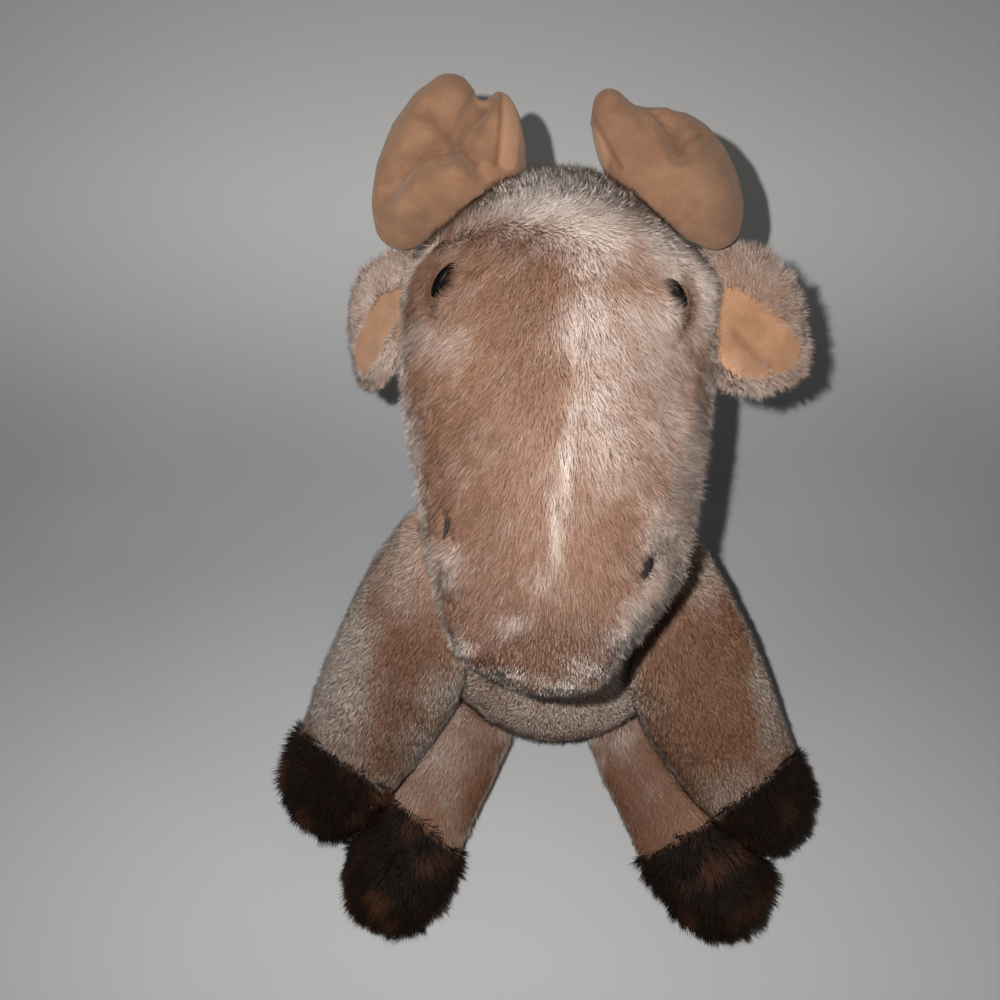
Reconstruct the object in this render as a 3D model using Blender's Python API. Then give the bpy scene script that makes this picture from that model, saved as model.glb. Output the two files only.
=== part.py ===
import math

import bmesh
import bpy
from mathutils import Matrix, Vector

# A stuffed deer that sits on its rump with all four hooves on the floor.
# It faces -Y, its left side is +X, and the origin is on the floor under the belly.

mm = 0.001

# Cloth and gaps
plush_thickness = 2.0 * mm
felt_thickness = 1.5 * mm
seam_gap = 0.3 * mm
moving_gap = 0.85 * mm
seat_flat_depth = 0.5 * mm
cut_overrun = 20.0 * mm

# Body: two balls on a spine that leans back, with a filled waist
belly_radius = 40.0 * mm
chest_radius = 33.0 * mm
waist_radius = 33.5 * mm
spine_length = 55.0 * mm
spine_lean = math.radians(13.5)
belly_panel_width = 34.0 * mm
belly_panel_back = 22.0 * mm
pellet_bag_height = 23.0 * mm

# Head
head_length = 114.0 * mm
head_width = 68.5 * mm
head_height = 57.0 * mm
head_narrowing_share = 0.1
nose_reach = 48.5 * mm
neck_sink = 12.0 * mm

# Eyes, with the shank and washer that hold them
eye_diameter = 8.4 * mm
eye_dome_height = 3.4 * mm
eye_shank_diameter = 2.6 * mm
eye_shank_end = 0.8 * mm
eye_washer_diameter = 8.0 * mm
eye_washer_thickness = 1.0 * mm
eye_washer_depth = 5.4 * mm

# Nostrils, each a short satin stitch
nostril_length = 5.6 * mm
nostril_width = 1.7 * mm
nostril_thickness = 1.6 * mm

# Antlers of stuffed felt
antler_height = 40.0 * mm
antler_thickness = 15.0 * mm
antler_rise = math.radians(34)

# Ears
ear_length = 39.0 * mm
ear_width = 29.0 * mm
ear_thickness = 5.6 * mm
ear_cup_depth = 5.0 * mm
ear_lining_share = 0.84
ear_root_sink = 3.5 * mm

# Front legs
front_leg_width = 40.0 * mm
front_leg_thickness = 35.0 * mm
front_toe_length = 15.5 * mm
front_cuff_length = 25.0 * mm
shoulder_outs = {"left": 13.0 * mm, "right": 20.0 * mm}
shoulder_back = 3.0 * mm
shoulder_rise = 2.0 * mm
front_hoof_outs = {"left": 62.0 * mm, "right": 69.0 * mm}
front_hoof_forwards = {"left": 58.0 * mm, "right": 52.0 * mm}

# Hind legs
hind_leg_width = 32.0 * mm
hind_leg_thickness = 32.0 * mm
hind_toe_length = 15.0 * mm
hind_cuff_length = 26.0 * mm
hip_out = 20.0 * mm
hip_forward = 10.0 * mm
hip_drop = 15.0 * mm
hind_hoof_out = 50.0 * mm
hind_hoof_forwards = {"left": 82.0 * mm, "right": 80.0 * mm}

# Tail
tail_length = 27.0 * mm
tail_width = 15.0 * mm
tail_thickness = 10.0 * mm
tail_root_sink = 2.5 * mm

# Shares of length, half width and half height, ring by ring, with a pole at each end
head_shares = [
    (0.0, 0.0, 0.0),
    (0.028, 0.370, 0.340),
    (0.110, 0.600, 0.620),
    (0.255, 0.755, 0.807),
    (0.425, 0.863, 0.930),
    (0.601, 0.971, 1.0),
    (0.768, 1.0, 0.982),
    (0.908, 0.804, 0.807),
    (0.978, 0.424, 0.439),
    (1.0, 0.0, 0.0),
]
front_leg_shares = [
    (0.0, 0.0, 0.0),
    (0.03, 0.58, 0.58),
    (0.12, 0.88, 0.88),
    (0.28, 0.98, 1.0),
    (0.45, 1.0, 1.0),
    (0.62, 0.96, 0.95),
    (0.76, 0.88, 0.90),
    (0.87, 0.90, 0.97),
    (0.965, 0.62, 0.68),
    (1.0, 0.0, 0.0),
]
hind_leg_shares = [
    (0.0, 0.0, 0.0),
    (0.04, 0.54, 0.54),
    (0.16, 0.90, 0.90),
    (0.36, 1.0, 0.97),
    (0.56, 0.93, 0.93),
    (0.70, 0.92, 0.93),
    (0.83, 1.0, 1.0),
    (0.95, 0.70, 0.74),
    (1.0, 0.0, 0.0),
]
lobe_shares = [
    (0.0, 0.0, 0.0),
    (0.067, 0.50, 0.50),
    (0.25, 0.866, 0.866),
    (0.50, 1.0, 1.0),
    (0.75, 0.866, 0.866),
    (0.933, 0.50, 0.50),
    (1.0, 0.0, 0.0),
]
ear_shares = [
    (0.0, 0.0, 0.0),
    (0.04, 0.42, 0.70),
    (0.20, 0.80, 1.0),
    (0.45, 1.0, 1.0),
    (0.70, 0.80, 0.92),
    (0.90, 0.40, 0.66),
    (1.0, 0.0, 0.0),
]
tail_shares = [
    (0.0, 0.0, 0.0),
    (0.06, 0.45, 0.52),
    (0.30, 0.82, 0.90),
    (0.60, 1.0, 1.0),
    (0.88, 0.66, 0.66),
    (1.0, 0.0, 0.0),
]

# Where things sit on the head: the share of its rings from nose to crown, and the angle up from its side
eye_ring_shares = {"left": 0.615, "right": 0.63}
eye_angles = {"left": math.radians(42), "right": math.radians(44)}
eye_tilt = math.radians(-14)
nostril_ring_shares = {"left": 0.295, "right": 0.35}
nostril_angles = {"left": math.radians(44), "right": math.radians(37)}
nostril_slants = {"left": math.radians(24), "right": math.radians(-20)}
antler_ring_share = 0.78
antler_angle = math.radians(36)
ear_ring_share = 0.70
ear_angle = math.radians(9)
ear_droops = {"left": math.radians(26), "right": math.radians(52)}
ear_sweep = math.radians(34)
ear_lining_turn = math.radians(14)
tail_angle = math.radians(-8)
tail_droop = math.radians(52)

# The lobes of each antler: length, width, place outward and place up, as shares of the antler's height
antler_lobe_shares = {
    "left": {
        "palm": (0.80, 0.44, 0.23, 0.11),
        "tine": (0.78, 0.34, -0.135, 0.23),
        "stem": (0.72, 0.55, 0.04, 0.08),
    },
    "right": {
        "palm": (1.0, 0.50, 0.19, 0.20),
        "tine": (0.68, 0.31, -0.21, 0.24),
        "stem": (0.80, 0.60, 0.02, 0.13),
    },
}
# How far each lobe leans towards the middle of the head
antler_lobe_leans = {
    "left": {"palm": math.radians(27), "tine": math.radians(25), "stem": 0},
    "right": {"palm": math.radians(25), "tine": 0, "stem": 0},
}

# Mesh counts
ball_step = 15
body_around = 24
core_around = 16
head_rings = 13
core_rings = 9
limb_around = 16
limb_rings = 9
limb_core_around = 12
limb_core_rings = 6
lobe_around = 12
lobe_rings = 6
lobe_core_around = 10
lobe_core_rings = 4
leaf_around = 12
leaf_rings = 6
small_around = 16
merge_distance = 0.0001 * mm

sides = {"left": 1, "right": -1}


def remove_everything():
    for item in list(bpy.data.objects):
        bpy.data.objects.remove(item, do_unlink=True)


def collection(name):
    made = bpy.data.collections.get(name) or bpy.data.collections.new(name)
    if made.name not in bpy.context.scene.collection.children:
        bpy.context.scene.collection.children.link(made)
    return made


def material(name, colour, roughness):
    made = bpy.data.materials.get(name) or bpy.data.materials.new(name)
    made.use_nodes = True
    shader = made.node_tree.nodes["Principled BSDF"]
    shader.inputs["Base Color"].default_value = (*colour, 1)
    shader.inputs["Roughness"].default_value = roughness
    shader.inputs["Metallic"].default_value = 0
    made.diffuse_color = (*colour, 1)
    return made


def smooth_row(rows, place):
    """A row between the rows of a table, on a smooth curve that closes round at the poles."""
    last = len(rows) - 1
    k = min(int(place), last - 1)
    t = place - k

    def row(i):
        if 0 <= i <= last:
            return rows[i]
        along, *rest = rows[1] if i < 0 else rows[last - 1]
        return (along, *(-v for v in rest))

    a, b, c, d = (row(k + j) for j in (-1, 0, 1, 2))
    return tuple(
        (2 * q + (r - p) * t + (2 * p - 5 * q + 4 * r - s) * t * t + (3 * q - p - 3 * r + s) * t * t * t) / 2
        for p, q, r, s in zip(a, b, c, d)
    )


def ring_rows(shares, length, half_width, half_height, rings):
    """The rings of a swollen form as (place along it, half width, half height)."""
    last = len(shares) - 1
    picked = [smooth_row(shares, last * k / (rings + 1)) for k in range(rings + 2)]
    return [(a * length, max(w, 0) * half_width, max(h, 0) * half_height) for a, w, h in picked]


def ring_point(row, angle, narrowing):
    along, half_width, half_height = row
    across = half_width * math.cos(angle) * (1 - narrowing * math.sin(angle))
    return Vector((across, half_height * math.sin(angle), along))


def ring_mesh(name, rows, around, narrowing=0, outset=0, reshape=None):
    """A ball whose rings are moved to the rows, then grown by outset along its normals."""
    bm = bmesh.new()
    bmesh.ops.create_uvsphere(bm, u_segments=around, v_segments=len(rows) - 1, radius=1)
    bm.verts.ensure_lookup_table()
    for v in bm.verts:
        turn = math.acos(max(-1, min(1, -v.co.z)))
        k = round(turn / math.pi * (len(rows) - 1))
        v.co = ring_point(rows[k], math.atan2(v.co.y, v.co.x), narrowing)
    bmesh.ops.remove_doubles(bm, verts=bm.verts, dist=merge_distance)
    bmesh.ops.recalc_face_normals(bm, faces=bm.faces)
    bm.normal_update()
    if outset:
        moves = {v: v.normal * outset for v in bm.verts}
        for v, move in moves.items():
            v.co += move
    if reshape:
        for v in bm.verts:
            v.co = reshape(v.co)
        bmesh.ops.recalc_face_normals(bm, faces=bm.faces)
    mesh = bpy.data.meshes.new(name)
    bm.to_mesh(mesh)
    bm.free()
    mesh.shade_smooth()
    mesh.set_sharp_from_angle(angle=math.radians(40))
    return mesh


def place_object(name, mesh, place, into, look=None):
    made = bpy.data.objects.new(name, mesh)
    made.matrix_world = place
    into.objects.link(made)
    if look:
        mesh.materials.append(look)
    else:
        made.hide_render = True
        made.display_type = "WIRE"
    return made


def boolean(target, cutter, operation="DIFFERENCE"):
    step = target.modifiers.new(operation.title() + " " + cutter.name, "BOOLEAN")
    step.operation = operation
    step.object = cutter
    step.solver = "EXACT"
    return target


def box(name, low, high, place, into):
    """A block between two corners, as a cutter."""
    bm = bmesh.new()
    bmesh.ops.create_cube(bm, size=1)
    low, high = Vector(low), Vector(high)
    middle, span = (low + high) / 2, high - low
    bmesh.ops.scale(bm, vec=span, verts=bm.verts)
    bmesh.ops.translate(bm, vec=middle, verts=bm.verts)
    mesh = bpy.data.meshes.new(name)
    bm.to_mesh(mesh)
    bm.free()
    return place_object(name, mesh, place, into)


def frame_along(start, end, side_hint):
    """The place at start whose Z runs to end and whose X lies nearest side_hint."""
    z = (end - start).normalized()
    x = (side_hint - z * side_hint.dot(z)).normalized()
    y = z.cross(x)
    turn = Matrix((x, y, z)).transposed().to_4x4()
    return Matrix.Translation(start) @ turn


def frame_on(point, out, up_hint):
    """The place at a surface point whose Z leaves the surface and whose Y lies nearest up_hint."""
    z = out.normalized()
    y = (up_hint - z * up_hint.dot(z)).normalized()
    x = y.cross(z)
    turn = Matrix((x, y, z)).transposed().to_4x4()
    return Matrix.Translation(point) @ turn


def pivot(name, point, into):
    made = bpy.data.objects.new(name, None)
    made.empty_display_size = seat_flat_depth
    made.location = point
    into.objects.link(made)
    return made


def hang(children, parent):
    """Parents the children to the empty and leaves them where they are."""
    bpy.context.view_layer.update()
    for child in children:
        child.parent = parent
        child.matrix_parent_inverse = parent.matrix_world.inverted()


remove_everything()
parts = collection("plush_deer")
cutters = collection("plush_deer_cutters")

fur_tan = material("fur_tan", (0.42, 0.27, 0.18), 0.95)
fur_leg = material("fur_leg", (0.34, 0.21, 0.14), 0.95)
fur_dark = material("fur_dark", (0.018, 0.011, 0.008), 0.95)
felt_peach = material("felt_peach", (0.52, 0.30, 0.17), 0.9)
eye_black = material("eye_black", (0.006, 0.006, 0.006), 0.12)
thread_black = material("thread_black", (0.012, 0.008, 0.006), 0.6)
fibre_white = material("fibre_white", (0.85, 0.84, 0.82), 0.95)
bag_white = material("bag_white", (0.75, 0.75, 0.73), 0.9)
washer_white = material("washer_white", (0.8, 0.8, 0.8), 0.4)

# The balls of the body and the line of its spine
belly_centre = Vector((0, 0, belly_radius - seat_flat_depth))
spine = Vector((0, math.sin(spine_lean), math.cos(spine_lean)))
chest_centre = belly_centre + spine * spine_length
upright = Matrix.Identity(4)


def body_rows():
    """The body's rings up its spine: the belly ball, the waist and the chest ball."""
    rows = []
    for degrees in range(-90, ball_step + 1, ball_step):
        a = math.radians(degrees)
        reach = belly_radius * math.cos(a) if degrees > -90 else 0
        rows.append((belly_radius * math.sin(a), reach, reach))
    chest_rows = []
    for degrees in range(-ball_step, 91, ball_step):
        a = math.radians(degrees)
        reach = chest_radius * math.cos(a) if degrees < 90 else 0
        chest_rows.append((spine_length + chest_radius * math.sin(a), reach, reach))
    middle = (rows[-1][0] + chest_rows[0][0]) / 2
    return rows + [(middle, waist_radius, waist_radius)] + chest_rows


body_place = Matrix.Translation(belly_centre) @ Matrix((
    Vector((1, 0, 0)), spine.cross(Vector((1, 0, 0))), spine
)).transposed().to_4x4()
body_table = body_rows()


def body_form(name, around, outset, look=None):
    mesh = ring_mesh(name, body_table, around, outset=outset)
    return place_object(name, mesh, body_place, parts if look else cutters, look)


floor = box(
    "floor_cut",
    (-head_length, -head_length, -cut_overrun), (head_length, head_length, 0), upright, cutters,
)
body_inside = body_form("body_inside", core_around, -plush_thickness)
body_room = body_form("body_room", body_around, moving_gap)
body_reach = belly_radius + spine_length + chest_radius
panel_half = belly_panel_width / 2
half_gap = seam_gap / 2
strip = box(
    "belly_strip", (-panel_half + half_gap, -body_reach, -cut_overrun),
    (panel_half - half_gap, belly_panel_back, body_reach), upright, cutters,
)
strip_room = box(
    "belly_strip_room", (-panel_half - half_gap, -body_reach, -cut_overrun),
    (panel_half + half_gap, belly_panel_back + seam_gap, body_reach), upright, cutters,
)

belly_panel = body_form("belly_panel", body_around, 0, fur_tan)
boolean(belly_panel, body_inside)
boolean(belly_panel, floor)
boolean(belly_panel, strip, "INTERSECT")
body_pieces = [belly_panel]
for side, sign in sides.items():
    half = box(
        "body_half_" + side, (min(sign * half_gap, sign * body_reach), -body_reach, -cut_overrun),
        (max(sign * half_gap, sign * body_reach), body_reach, body_reach), upright, cutters,
    )
    panel = body_form("body_side_" + side, body_around, 0, fur_tan)
    boolean(panel, body_inside)
    boolean(panel, floor)
    boolean(panel, half, "INTERSECT")
    boolean(panel, strip_room)
    body_pieces.append(panel)

core_inset = plush_thickness + seam_gap
bag_top = box(
    "pellet_bag_top", (-body_reach, -body_reach, pellet_bag_height - half_gap),
    (body_reach, body_reach, body_reach * 2), upright, cutters,
)
fibre_bottom = box(
    "fibre_bottom", (-body_reach, -body_reach, -cut_overrun),
    (body_reach, body_reach, pellet_bag_height + half_gap), upright, cutters,
)
pellet_bag = body_form("pellet_bag", core_around, -core_inset, bag_white)
boolean(pellet_bag, bag_top)
body_stuffing = body_form("body_stuffing", core_around, -core_inset, fibre_white)
boolean(body_stuffing, fibre_bottom)
body_pieces += [pellet_bag, body_stuffing]

# Head: its rings run from the nose back to the crown
head_axis_height = chest_centre.z + chest_radius + head_height / 2 - neck_sink
nose_tip = Vector((0, chest_centre.y - nose_reach, head_axis_height))
crown_back = nose_tip + Vector((0, head_length, 0))
head_place = frame_along(nose_tip, crown_back, Vector((-1, 0, 0)))


def head_form(name, around, rings, outset, look=None):
    rows = ring_rows(head_shares, head_length, head_width / 2, head_height / 2, rings)
    mesh = ring_mesh(name, rows, around, head_narrowing_share, outset)
    return place_object(name, mesh, head_place, parts if look else cutters, look)


def on_head(ring_share, angle, sign):
    """A point on the head and the way out of it there, for a place on the given side."""
    turned = math.pi - angle if sign > 0 else angle
    half_width, half_height = head_width / 2, head_height / 2

    def at(share, turn):
        row = smooth_row(head_shares, (len(head_shares) - 1) * share)
        scaled = (row[0] * head_length, row[1] * half_width, row[2] * half_height)
        return head_place @ ring_point(scaled, turn, head_narrowing_share)

    small_share = 0.001
    point = at(ring_share, turned)
    along = at(ring_share + small_share, turned) - at(ring_share - small_share, turned)
    round_it = at(ring_share, turned + small_share) - at(ring_share, turned - small_share)
    out = along.cross(round_it).normalized()
    if out.dot(point - head_place @ Vector((0, 0, head_length / 2))) < 0:
        out.negate()
    return point, out


head_inside = head_form("head_inside", core_around, core_rings, -plush_thickness)
head_room = head_form("head_room", body_around, head_rings, seam_gap)
head_moving_room = head_form("head_moving_room", body_around, head_rings, moving_gap)

head_stuffing = head_form("head_stuffing", core_around, core_rings, -core_inset, fibre_white)
boolean(head_stuffing, body_room)
head_panels = {}
for side, sign in sides.items():
    half = box(
        "head_half_" + side, (min(sign * half_gap, sign * head_length), -head_length * 2, -cut_overrun),
        (max(sign * half_gap, sign * head_length), head_length * 2, head_axis_height * 2), upright, cutters,
    )
    panel = head_form("head_side_" + side, body_around, head_rings, 0, fur_tan)
    boolean(panel, head_inside)
    boolean(panel, body_room)
    boolean(panel, half, "INTERSECT")
    head_panels[side] = panel
head_pieces = [head_stuffing, *head_panels.values()]

# Eyes: a turned dome with a shank through the cloth, and a washer behind it
eye_radius, shank_radius, washer_radius = eye_diameter / 2, eye_shank_diameter / 2, eye_washer_diameter / 2
eye_shank_length = eye_washer_depth + eye_washer_thickness + eye_shank_end
for side, sign in sides.items():
    point, out = on_head(eye_ring_shares[side], eye_angles[side], sign)
    tilt = Matrix.Rotation(sign * eye_tilt, 3, "Y")
    out = tilt @ out
    eye_place = frame_on(point, out, Vector((0, -1, 0)))
    dome = []
    for degrees in range(0, 91, ball_step * 2):
        a = math.radians(degrees)
        dome.append((seam_gap + eye_dome_height * math.cos(a), eye_radius * math.sin(a), eye_radius * math.sin(a)))
    rows = [
        *dome,
        (seam_gap, shank_radius, shank_radius),
        (seam_gap - eye_shank_length, shank_radius, shank_radius),
        (seam_gap - eye_shank_length, 0, 0),
    ]
    rows.reverse()
    eye = place_object(
        "eye_" + side, ring_mesh("eye_" + side, rows, small_around), eye_place, parts, eye_black
    )
    bore_rows = [
        (cut_overrun / 2, 0, 0), (cut_overrun / 2, shank_radius + seam_gap, shank_radius + seam_gap),
        (-cut_overrun / 2, shank_radius + seam_gap, shank_radius + seam_gap), (-cut_overrun / 2, 0, 0),
    ]
    bore_rows.reverse()
    bore = place_object(
        "eye_bore_" + side, ring_mesh("eye_bore_" + side, bore_rows, small_around), eye_place, cutters
    )
    seat_rows = [
        (cut_overrun / 2, 0, 0), (cut_overrun / 2, eye_radius + seam_gap, eye_radius + seam_gap),
        (0, eye_radius + seam_gap, eye_radius + seam_gap), (0, 0, 0),
    ]
    seat_rows.reverse()
    seat = place_object(
        "eye_seat_" + side, ring_mesh("eye_seat_" + side, seat_rows, small_around), eye_place, cutters
    )
    boolean(head_panels[side], bore)
    boolean(head_panels[side], seat)
    washer_top = -eye_washer_depth
    washer_low = washer_top - eye_washer_thickness
    washer_rows = [
        (washer_top, 0, 0), (washer_top, washer_radius, washer_radius),
        (washer_low, washer_radius, washer_radius), (washer_low, 0, 0),
    ]
    washer_rows.reverse()
    washer = place_object(
        "eye_washer_" + side, ring_mesh("eye_washer_" + side, washer_rows, small_around),
        eye_place, parts, washer_white,
    )
    boolean(washer, bore)
    pocket_rows = [
        (cut_overrun / 2, 0, 0), (cut_overrun / 2, washer_radius + seam_gap, washer_radius + seam_gap),
        (-eye_shank_length - seam_gap, washer_radius + seam_gap, washer_radius + seam_gap),
        (-eye_shank_length - seam_gap, 0, 0),
    ]
    pocket_rows.reverse()
    pocket = place_object(
        "eye_pocket_" + side, ring_mesh("eye_pocket_" + side, pocket_rows, small_around), eye_place, cutters
    )
    boolean(head_stuffing, pocket)
    head_pieces += [eye, washer]



def stitch_form(name, place, outset, look=None):
    rows = ring_rows(lobe_shares, nostril_length, nostril_width / 2, nostril_thickness / 2, lobe_core_rings)
    mesh = ring_mesh(name, rows, lobe_core_around, outset=outset)
    return place_object(name, mesh, place, parts if look else cutters, look)


# Nostrils: satin stitches let into the cloth
for side, sign in sides.items():
    point, out = on_head(nostril_ring_shares[side], nostril_angles[side], sign)
    slant = Matrix.Rotation(nostril_slants[side], 3, out)
    upright_place = frame_on(point, out, slant @ Vector((0, -1, 0)))
    half_way = Matrix.Translation(Vector((0, -nostril_length / 2, 0)))
    lying = upright_place @ half_way @ Matrix.Rotation(-math.pi / 2, 4, "X")
    boolean(head_panels[side], stitch_form("nostril_room_" + side, lying, seam_gap))
    head_pieces.append(stitch_form("nostril_" + side, lying, 0, thread_black))


def antler_form(name, side, place, around, rings, outset, look=None):
    """The joined lobes of an antler, in the place whose Z leaves its face and whose Y runs up it."""
    made = []
    for lobe, shares in antler_lobe_shares[side].items():
        length, width, out, up = (share * antler_height for share in shares)
        rows = ring_rows(lobe_shares, length, width / 2, min(width, antler_thickness) / 2, rings)
        first = not made
        mesh = ring_mesh(name if first else name + "_" + lobe, rows, around, outset=outset)
        turn = Matrix.Rotation(sides[side] * antler_lobe_leans[side][lobe], 4, "Z")
        lying = turn @ Matrix.Rotation(-math.pi / 2, 4, "X")
        start = Matrix.Translation(Vector((sides[side] * out, up, 0))) @ lying
        made.append(place_object(
            mesh.name, mesh, place @ start @ Matrix.Translation(Vector((0, 0, -length / 2))),
            parts if look and first else cutters, look if first else None,
        ))
    for other in made[1:]:
        boolean(made[0], other, "UNION")
    return made[0]


# Antlers: front and back felt, sewn at the edge, round a fibre core
antler_up = Vector((0, math.cos(antler_rise), math.sin(antler_rise)))
antler_facing = Vector((0, -math.sin(antler_rise), math.cos(antler_rise)))
antler_reach = antler_height * 2
for side, sign in sides.items():
    antler_root, _ = on_head(antler_ring_share, antler_angle, sign)
    antler_place = frame_on(antler_root, antler_facing, antler_up)
    fill = antler_form(
        "antler_inside_" + side, side, antler_place, lobe_core_around, lobe_core_rings, -felt_thickness
    )
    for face, low, high in (("front", half_gap, antler_reach), ("back", -antler_reach, -half_gap)):
        slab = box(
            "antler_" + face + "_slab_" + side, (-antler_reach, -antler_reach, low),
            (antler_reach, antler_reach, high), antler_place, cutters,
        )
        felt = antler_form(
            "antler_" + face + "_" + side, side, antler_place, lobe_around, lobe_rings, 0, felt_peach
        )
        boolean(felt, fill)
        boolean(felt, head_room)
        boolean(felt, slab, "INTERSECT")
        head_pieces.append(felt)
    core = antler_form(
        "antler_stuffing_" + side, side, antler_place, lobe_core_around, lobe_core_rings,
        -felt_thickness - seam_gap, fibre_white,
    )
    boolean(core, head_room)
    head_pieces.append(core)

neck = pivot("neck_pivot", chest_centre, parts)
hang(head_pieces, neck)


def cupped(up):
    """A reshaping that keeps one side of the ear's middle plane and curls its edges."""

    def reshape(co):
        level = up * half_gap if co.y * up < half_gap else co.y
        return Vector((co.x, level + ear_cup_depth * (co.x / (ear_width / 2)) ** 2, co.z))

    return reshape


# Ears: a fur back and a felt lining, cupped across
for side, sign in sides.items():
    root, _ = on_head(ear_ring_share, ear_angle, sign)
    droop = ear_droops[side]
    reach = Vector((
        sign * math.cos(droop) * math.cos(ear_sweep), -math.sin(ear_sweep), -math.sin(droop)
    )).normalized()
    start = root - reach * ear_root_sink
    across = Vector((0, sign, 0))
    ear_place = frame_along(start, start + reach * ear_length, across) @ Matrix.Rotation(
        sign * ear_lining_turn, 4, "Z"
    )
    ear_pivot = pivot("ear_pivot_" + side, root, parts)
    ear_pieces = []
    for layer, look, share, up in (("back", fur_tan, 1, -1), ("lining", felt_peach, ear_lining_share, 1)):
        length, half_width = ear_length * share, ear_width * share / 2
        rows = ring_rows(ear_shares, length, half_width, ear_thickness / 2, leaf_rings)
        name = "ear_" + layer + "_" + side
        leaf = place_object(
            name, ring_mesh(name, rows, leaf_around, reshape=cupped(up)),
            ear_place @ Matrix.Translation(Vector((0, 0, (ear_length - length) / 2))), parts, look,
        )
        boolean(leaf, head_moving_room)
        ear_pieces.append(leaf)
    hang([ear_pivot], neck)
    hang(ear_pieces, ear_pivot)


def make_leg(kind, side, sign, sizes):
    """A leg's cloth, hoof and stuffing, cut where it meets the body."""
    start, hoof_centre, toe, half_width, half_thick, shares, cuff_length = sizes
    length = (hoof_centre - start).length + toe
    end = start + (hoof_centre - start).normalized() * length
    place = frame_along(start, end, Vector((1, 0, 0)))

    def form(name, around, rings, outset, look=None):
        rows = ring_rows(shares, length, half_width, half_thick, rings)
        mesh = ring_mesh(name, rows, around, outset=outset)
        return place_object(name, mesh, place, parts if look else cutters, look)

    wide = half_width * 3
    cuff = length - cuff_length
    above = box(
        kind + "_cuff_above_" + side, (-wide, -wide, -cut_overrun), (wide, wide, cuff - half_gap), place, cutters
    )
    below = box(
        kind + "_cuff_below_" + side, (-wide, -wide, cuff + half_gap),
        (wide, wide, length + cut_overrun), place, cutters,
    )
    inside = form(kind + "_inside_" + side, limb_core_around, limb_core_rings, -plush_thickness)
    cloth = form(kind + "_" + side, limb_around, limb_rings, 0, fur_leg)
    hoof = form(kind.replace("leg", "hoof") + "_" + side, limb_around, limb_rings, 0, fur_dark)
    core = form(kind + "_stuffing_" + side, limb_core_around, limb_core_rings, -core_inset, fibre_white)
    room = form(kind + "_room_" + side, limb_around, limb_rings, seam_gap)
    for piece, keep in ((cloth, above), (hoof, below)):
        boolean(piece, inside)
        boolean(piece, floor)
        boolean(piece, keep, "INTERSECT")
    for piece in (cloth, core):
        boolean(piece, body_room)
    return [cloth, hoof, core], room


for side, sign in sides.items():
    shoulder = chest_centre + Vector((sign * shoulder_outs[side], shoulder_back, shoulder_rise))
    front_half_thick = front_leg_thickness / 2
    front_hoof = Vector((
        sign * front_hoof_outs[side], -front_hoof_forwards[side], front_half_thick - seat_flat_depth
    ))
    front_pieces, front_room = make_leg("front_leg", side, sign, (
        shoulder, front_hoof, front_toe_length, front_leg_width / 2, front_half_thick,
        front_leg_shares, front_cuff_length,
    ))
    hip = belly_centre + Vector((sign * hip_out, -hip_forward, -hip_drop))
    hind_half_thick = hind_leg_thickness / 2
    hind_hoof = Vector((
        sign * hind_hoof_out, -hind_hoof_forwards[side], hind_half_thick - seat_flat_depth
    ))
    hind_pieces, _ = make_leg("hind_leg", side, sign, (
        hip, hind_hoof, hind_toe_length, hind_leg_width / 2, hind_half_thick,
        hind_leg_shares, hind_cuff_length,
    ))
    for piece in hind_pieces:
        boolean(piece, front_room)
    hang(front_pieces, pivot("shoulder_pivot_" + side, chest_centre, parts))
    hang(hind_pieces, pivot("hip_pivot_" + side, belly_centre, parts))

# Tail
tail_out = Vector((0, math.cos(tail_angle), math.sin(tail_angle)))
tail_root = belly_centre + tail_out * belly_radius
tail_reach = Vector((0, math.cos(tail_droop), -math.sin(tail_droop)))
tail_start = tail_root - tail_reach * tail_root_sink
tail_rows = ring_rows(tail_shares, tail_length, tail_width / 2, tail_thickness / 2, limb_core_rings)
tail = place_object(
    "tail", ring_mesh("tail", tail_rows, limb_core_around),
    frame_along(tail_start, tail_start + tail_reach * tail_length, Vector((1, 0, 0))), parts, fur_tan,
)
boolean(tail, body_room)
hang([tail], pivot("tail_pivot", tail_root, parts))

bpy.context.view_layer.update()
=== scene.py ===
import math
import bmesh
import bpy
import numpy as np
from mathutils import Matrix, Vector
from mathutils.bvhtree import BVHTree


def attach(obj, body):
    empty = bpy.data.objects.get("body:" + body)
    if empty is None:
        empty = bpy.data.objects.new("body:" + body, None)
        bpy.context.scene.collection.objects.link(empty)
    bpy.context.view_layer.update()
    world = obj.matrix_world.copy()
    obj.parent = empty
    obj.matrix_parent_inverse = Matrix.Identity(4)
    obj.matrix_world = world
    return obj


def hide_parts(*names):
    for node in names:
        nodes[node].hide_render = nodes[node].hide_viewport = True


# A sitting plush deer, seen from above. Lengths are metres; names that end in Mm are millimetres.
mm = 0.001
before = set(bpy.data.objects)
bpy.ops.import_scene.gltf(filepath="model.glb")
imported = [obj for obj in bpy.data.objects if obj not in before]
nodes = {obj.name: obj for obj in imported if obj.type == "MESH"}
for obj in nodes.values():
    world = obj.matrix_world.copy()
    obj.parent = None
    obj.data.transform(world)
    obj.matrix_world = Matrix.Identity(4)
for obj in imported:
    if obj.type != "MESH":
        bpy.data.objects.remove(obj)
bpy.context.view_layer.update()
scene = bpy.context.scene


def linear(hexColour):
    out = []
    for i in (1, 3, 5):
        c = int(hexColour[i:i + 2], 16) / 255
        out.append(c / 12.92 if c <= 0.04045 else ((c + 0.055) / 1.055) ** 2.4)
    return (*out, 1.0)


# Camera: nearly straight down, a little from the front, as in the photograph
cameraFacts = {"elevation": 74.0, "distance": 0.36, "aimY": 0.046, "lens": 36.0, "sensor": 36.0,
               "shiftX": -0.058}
pictureSize = 1000

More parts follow.
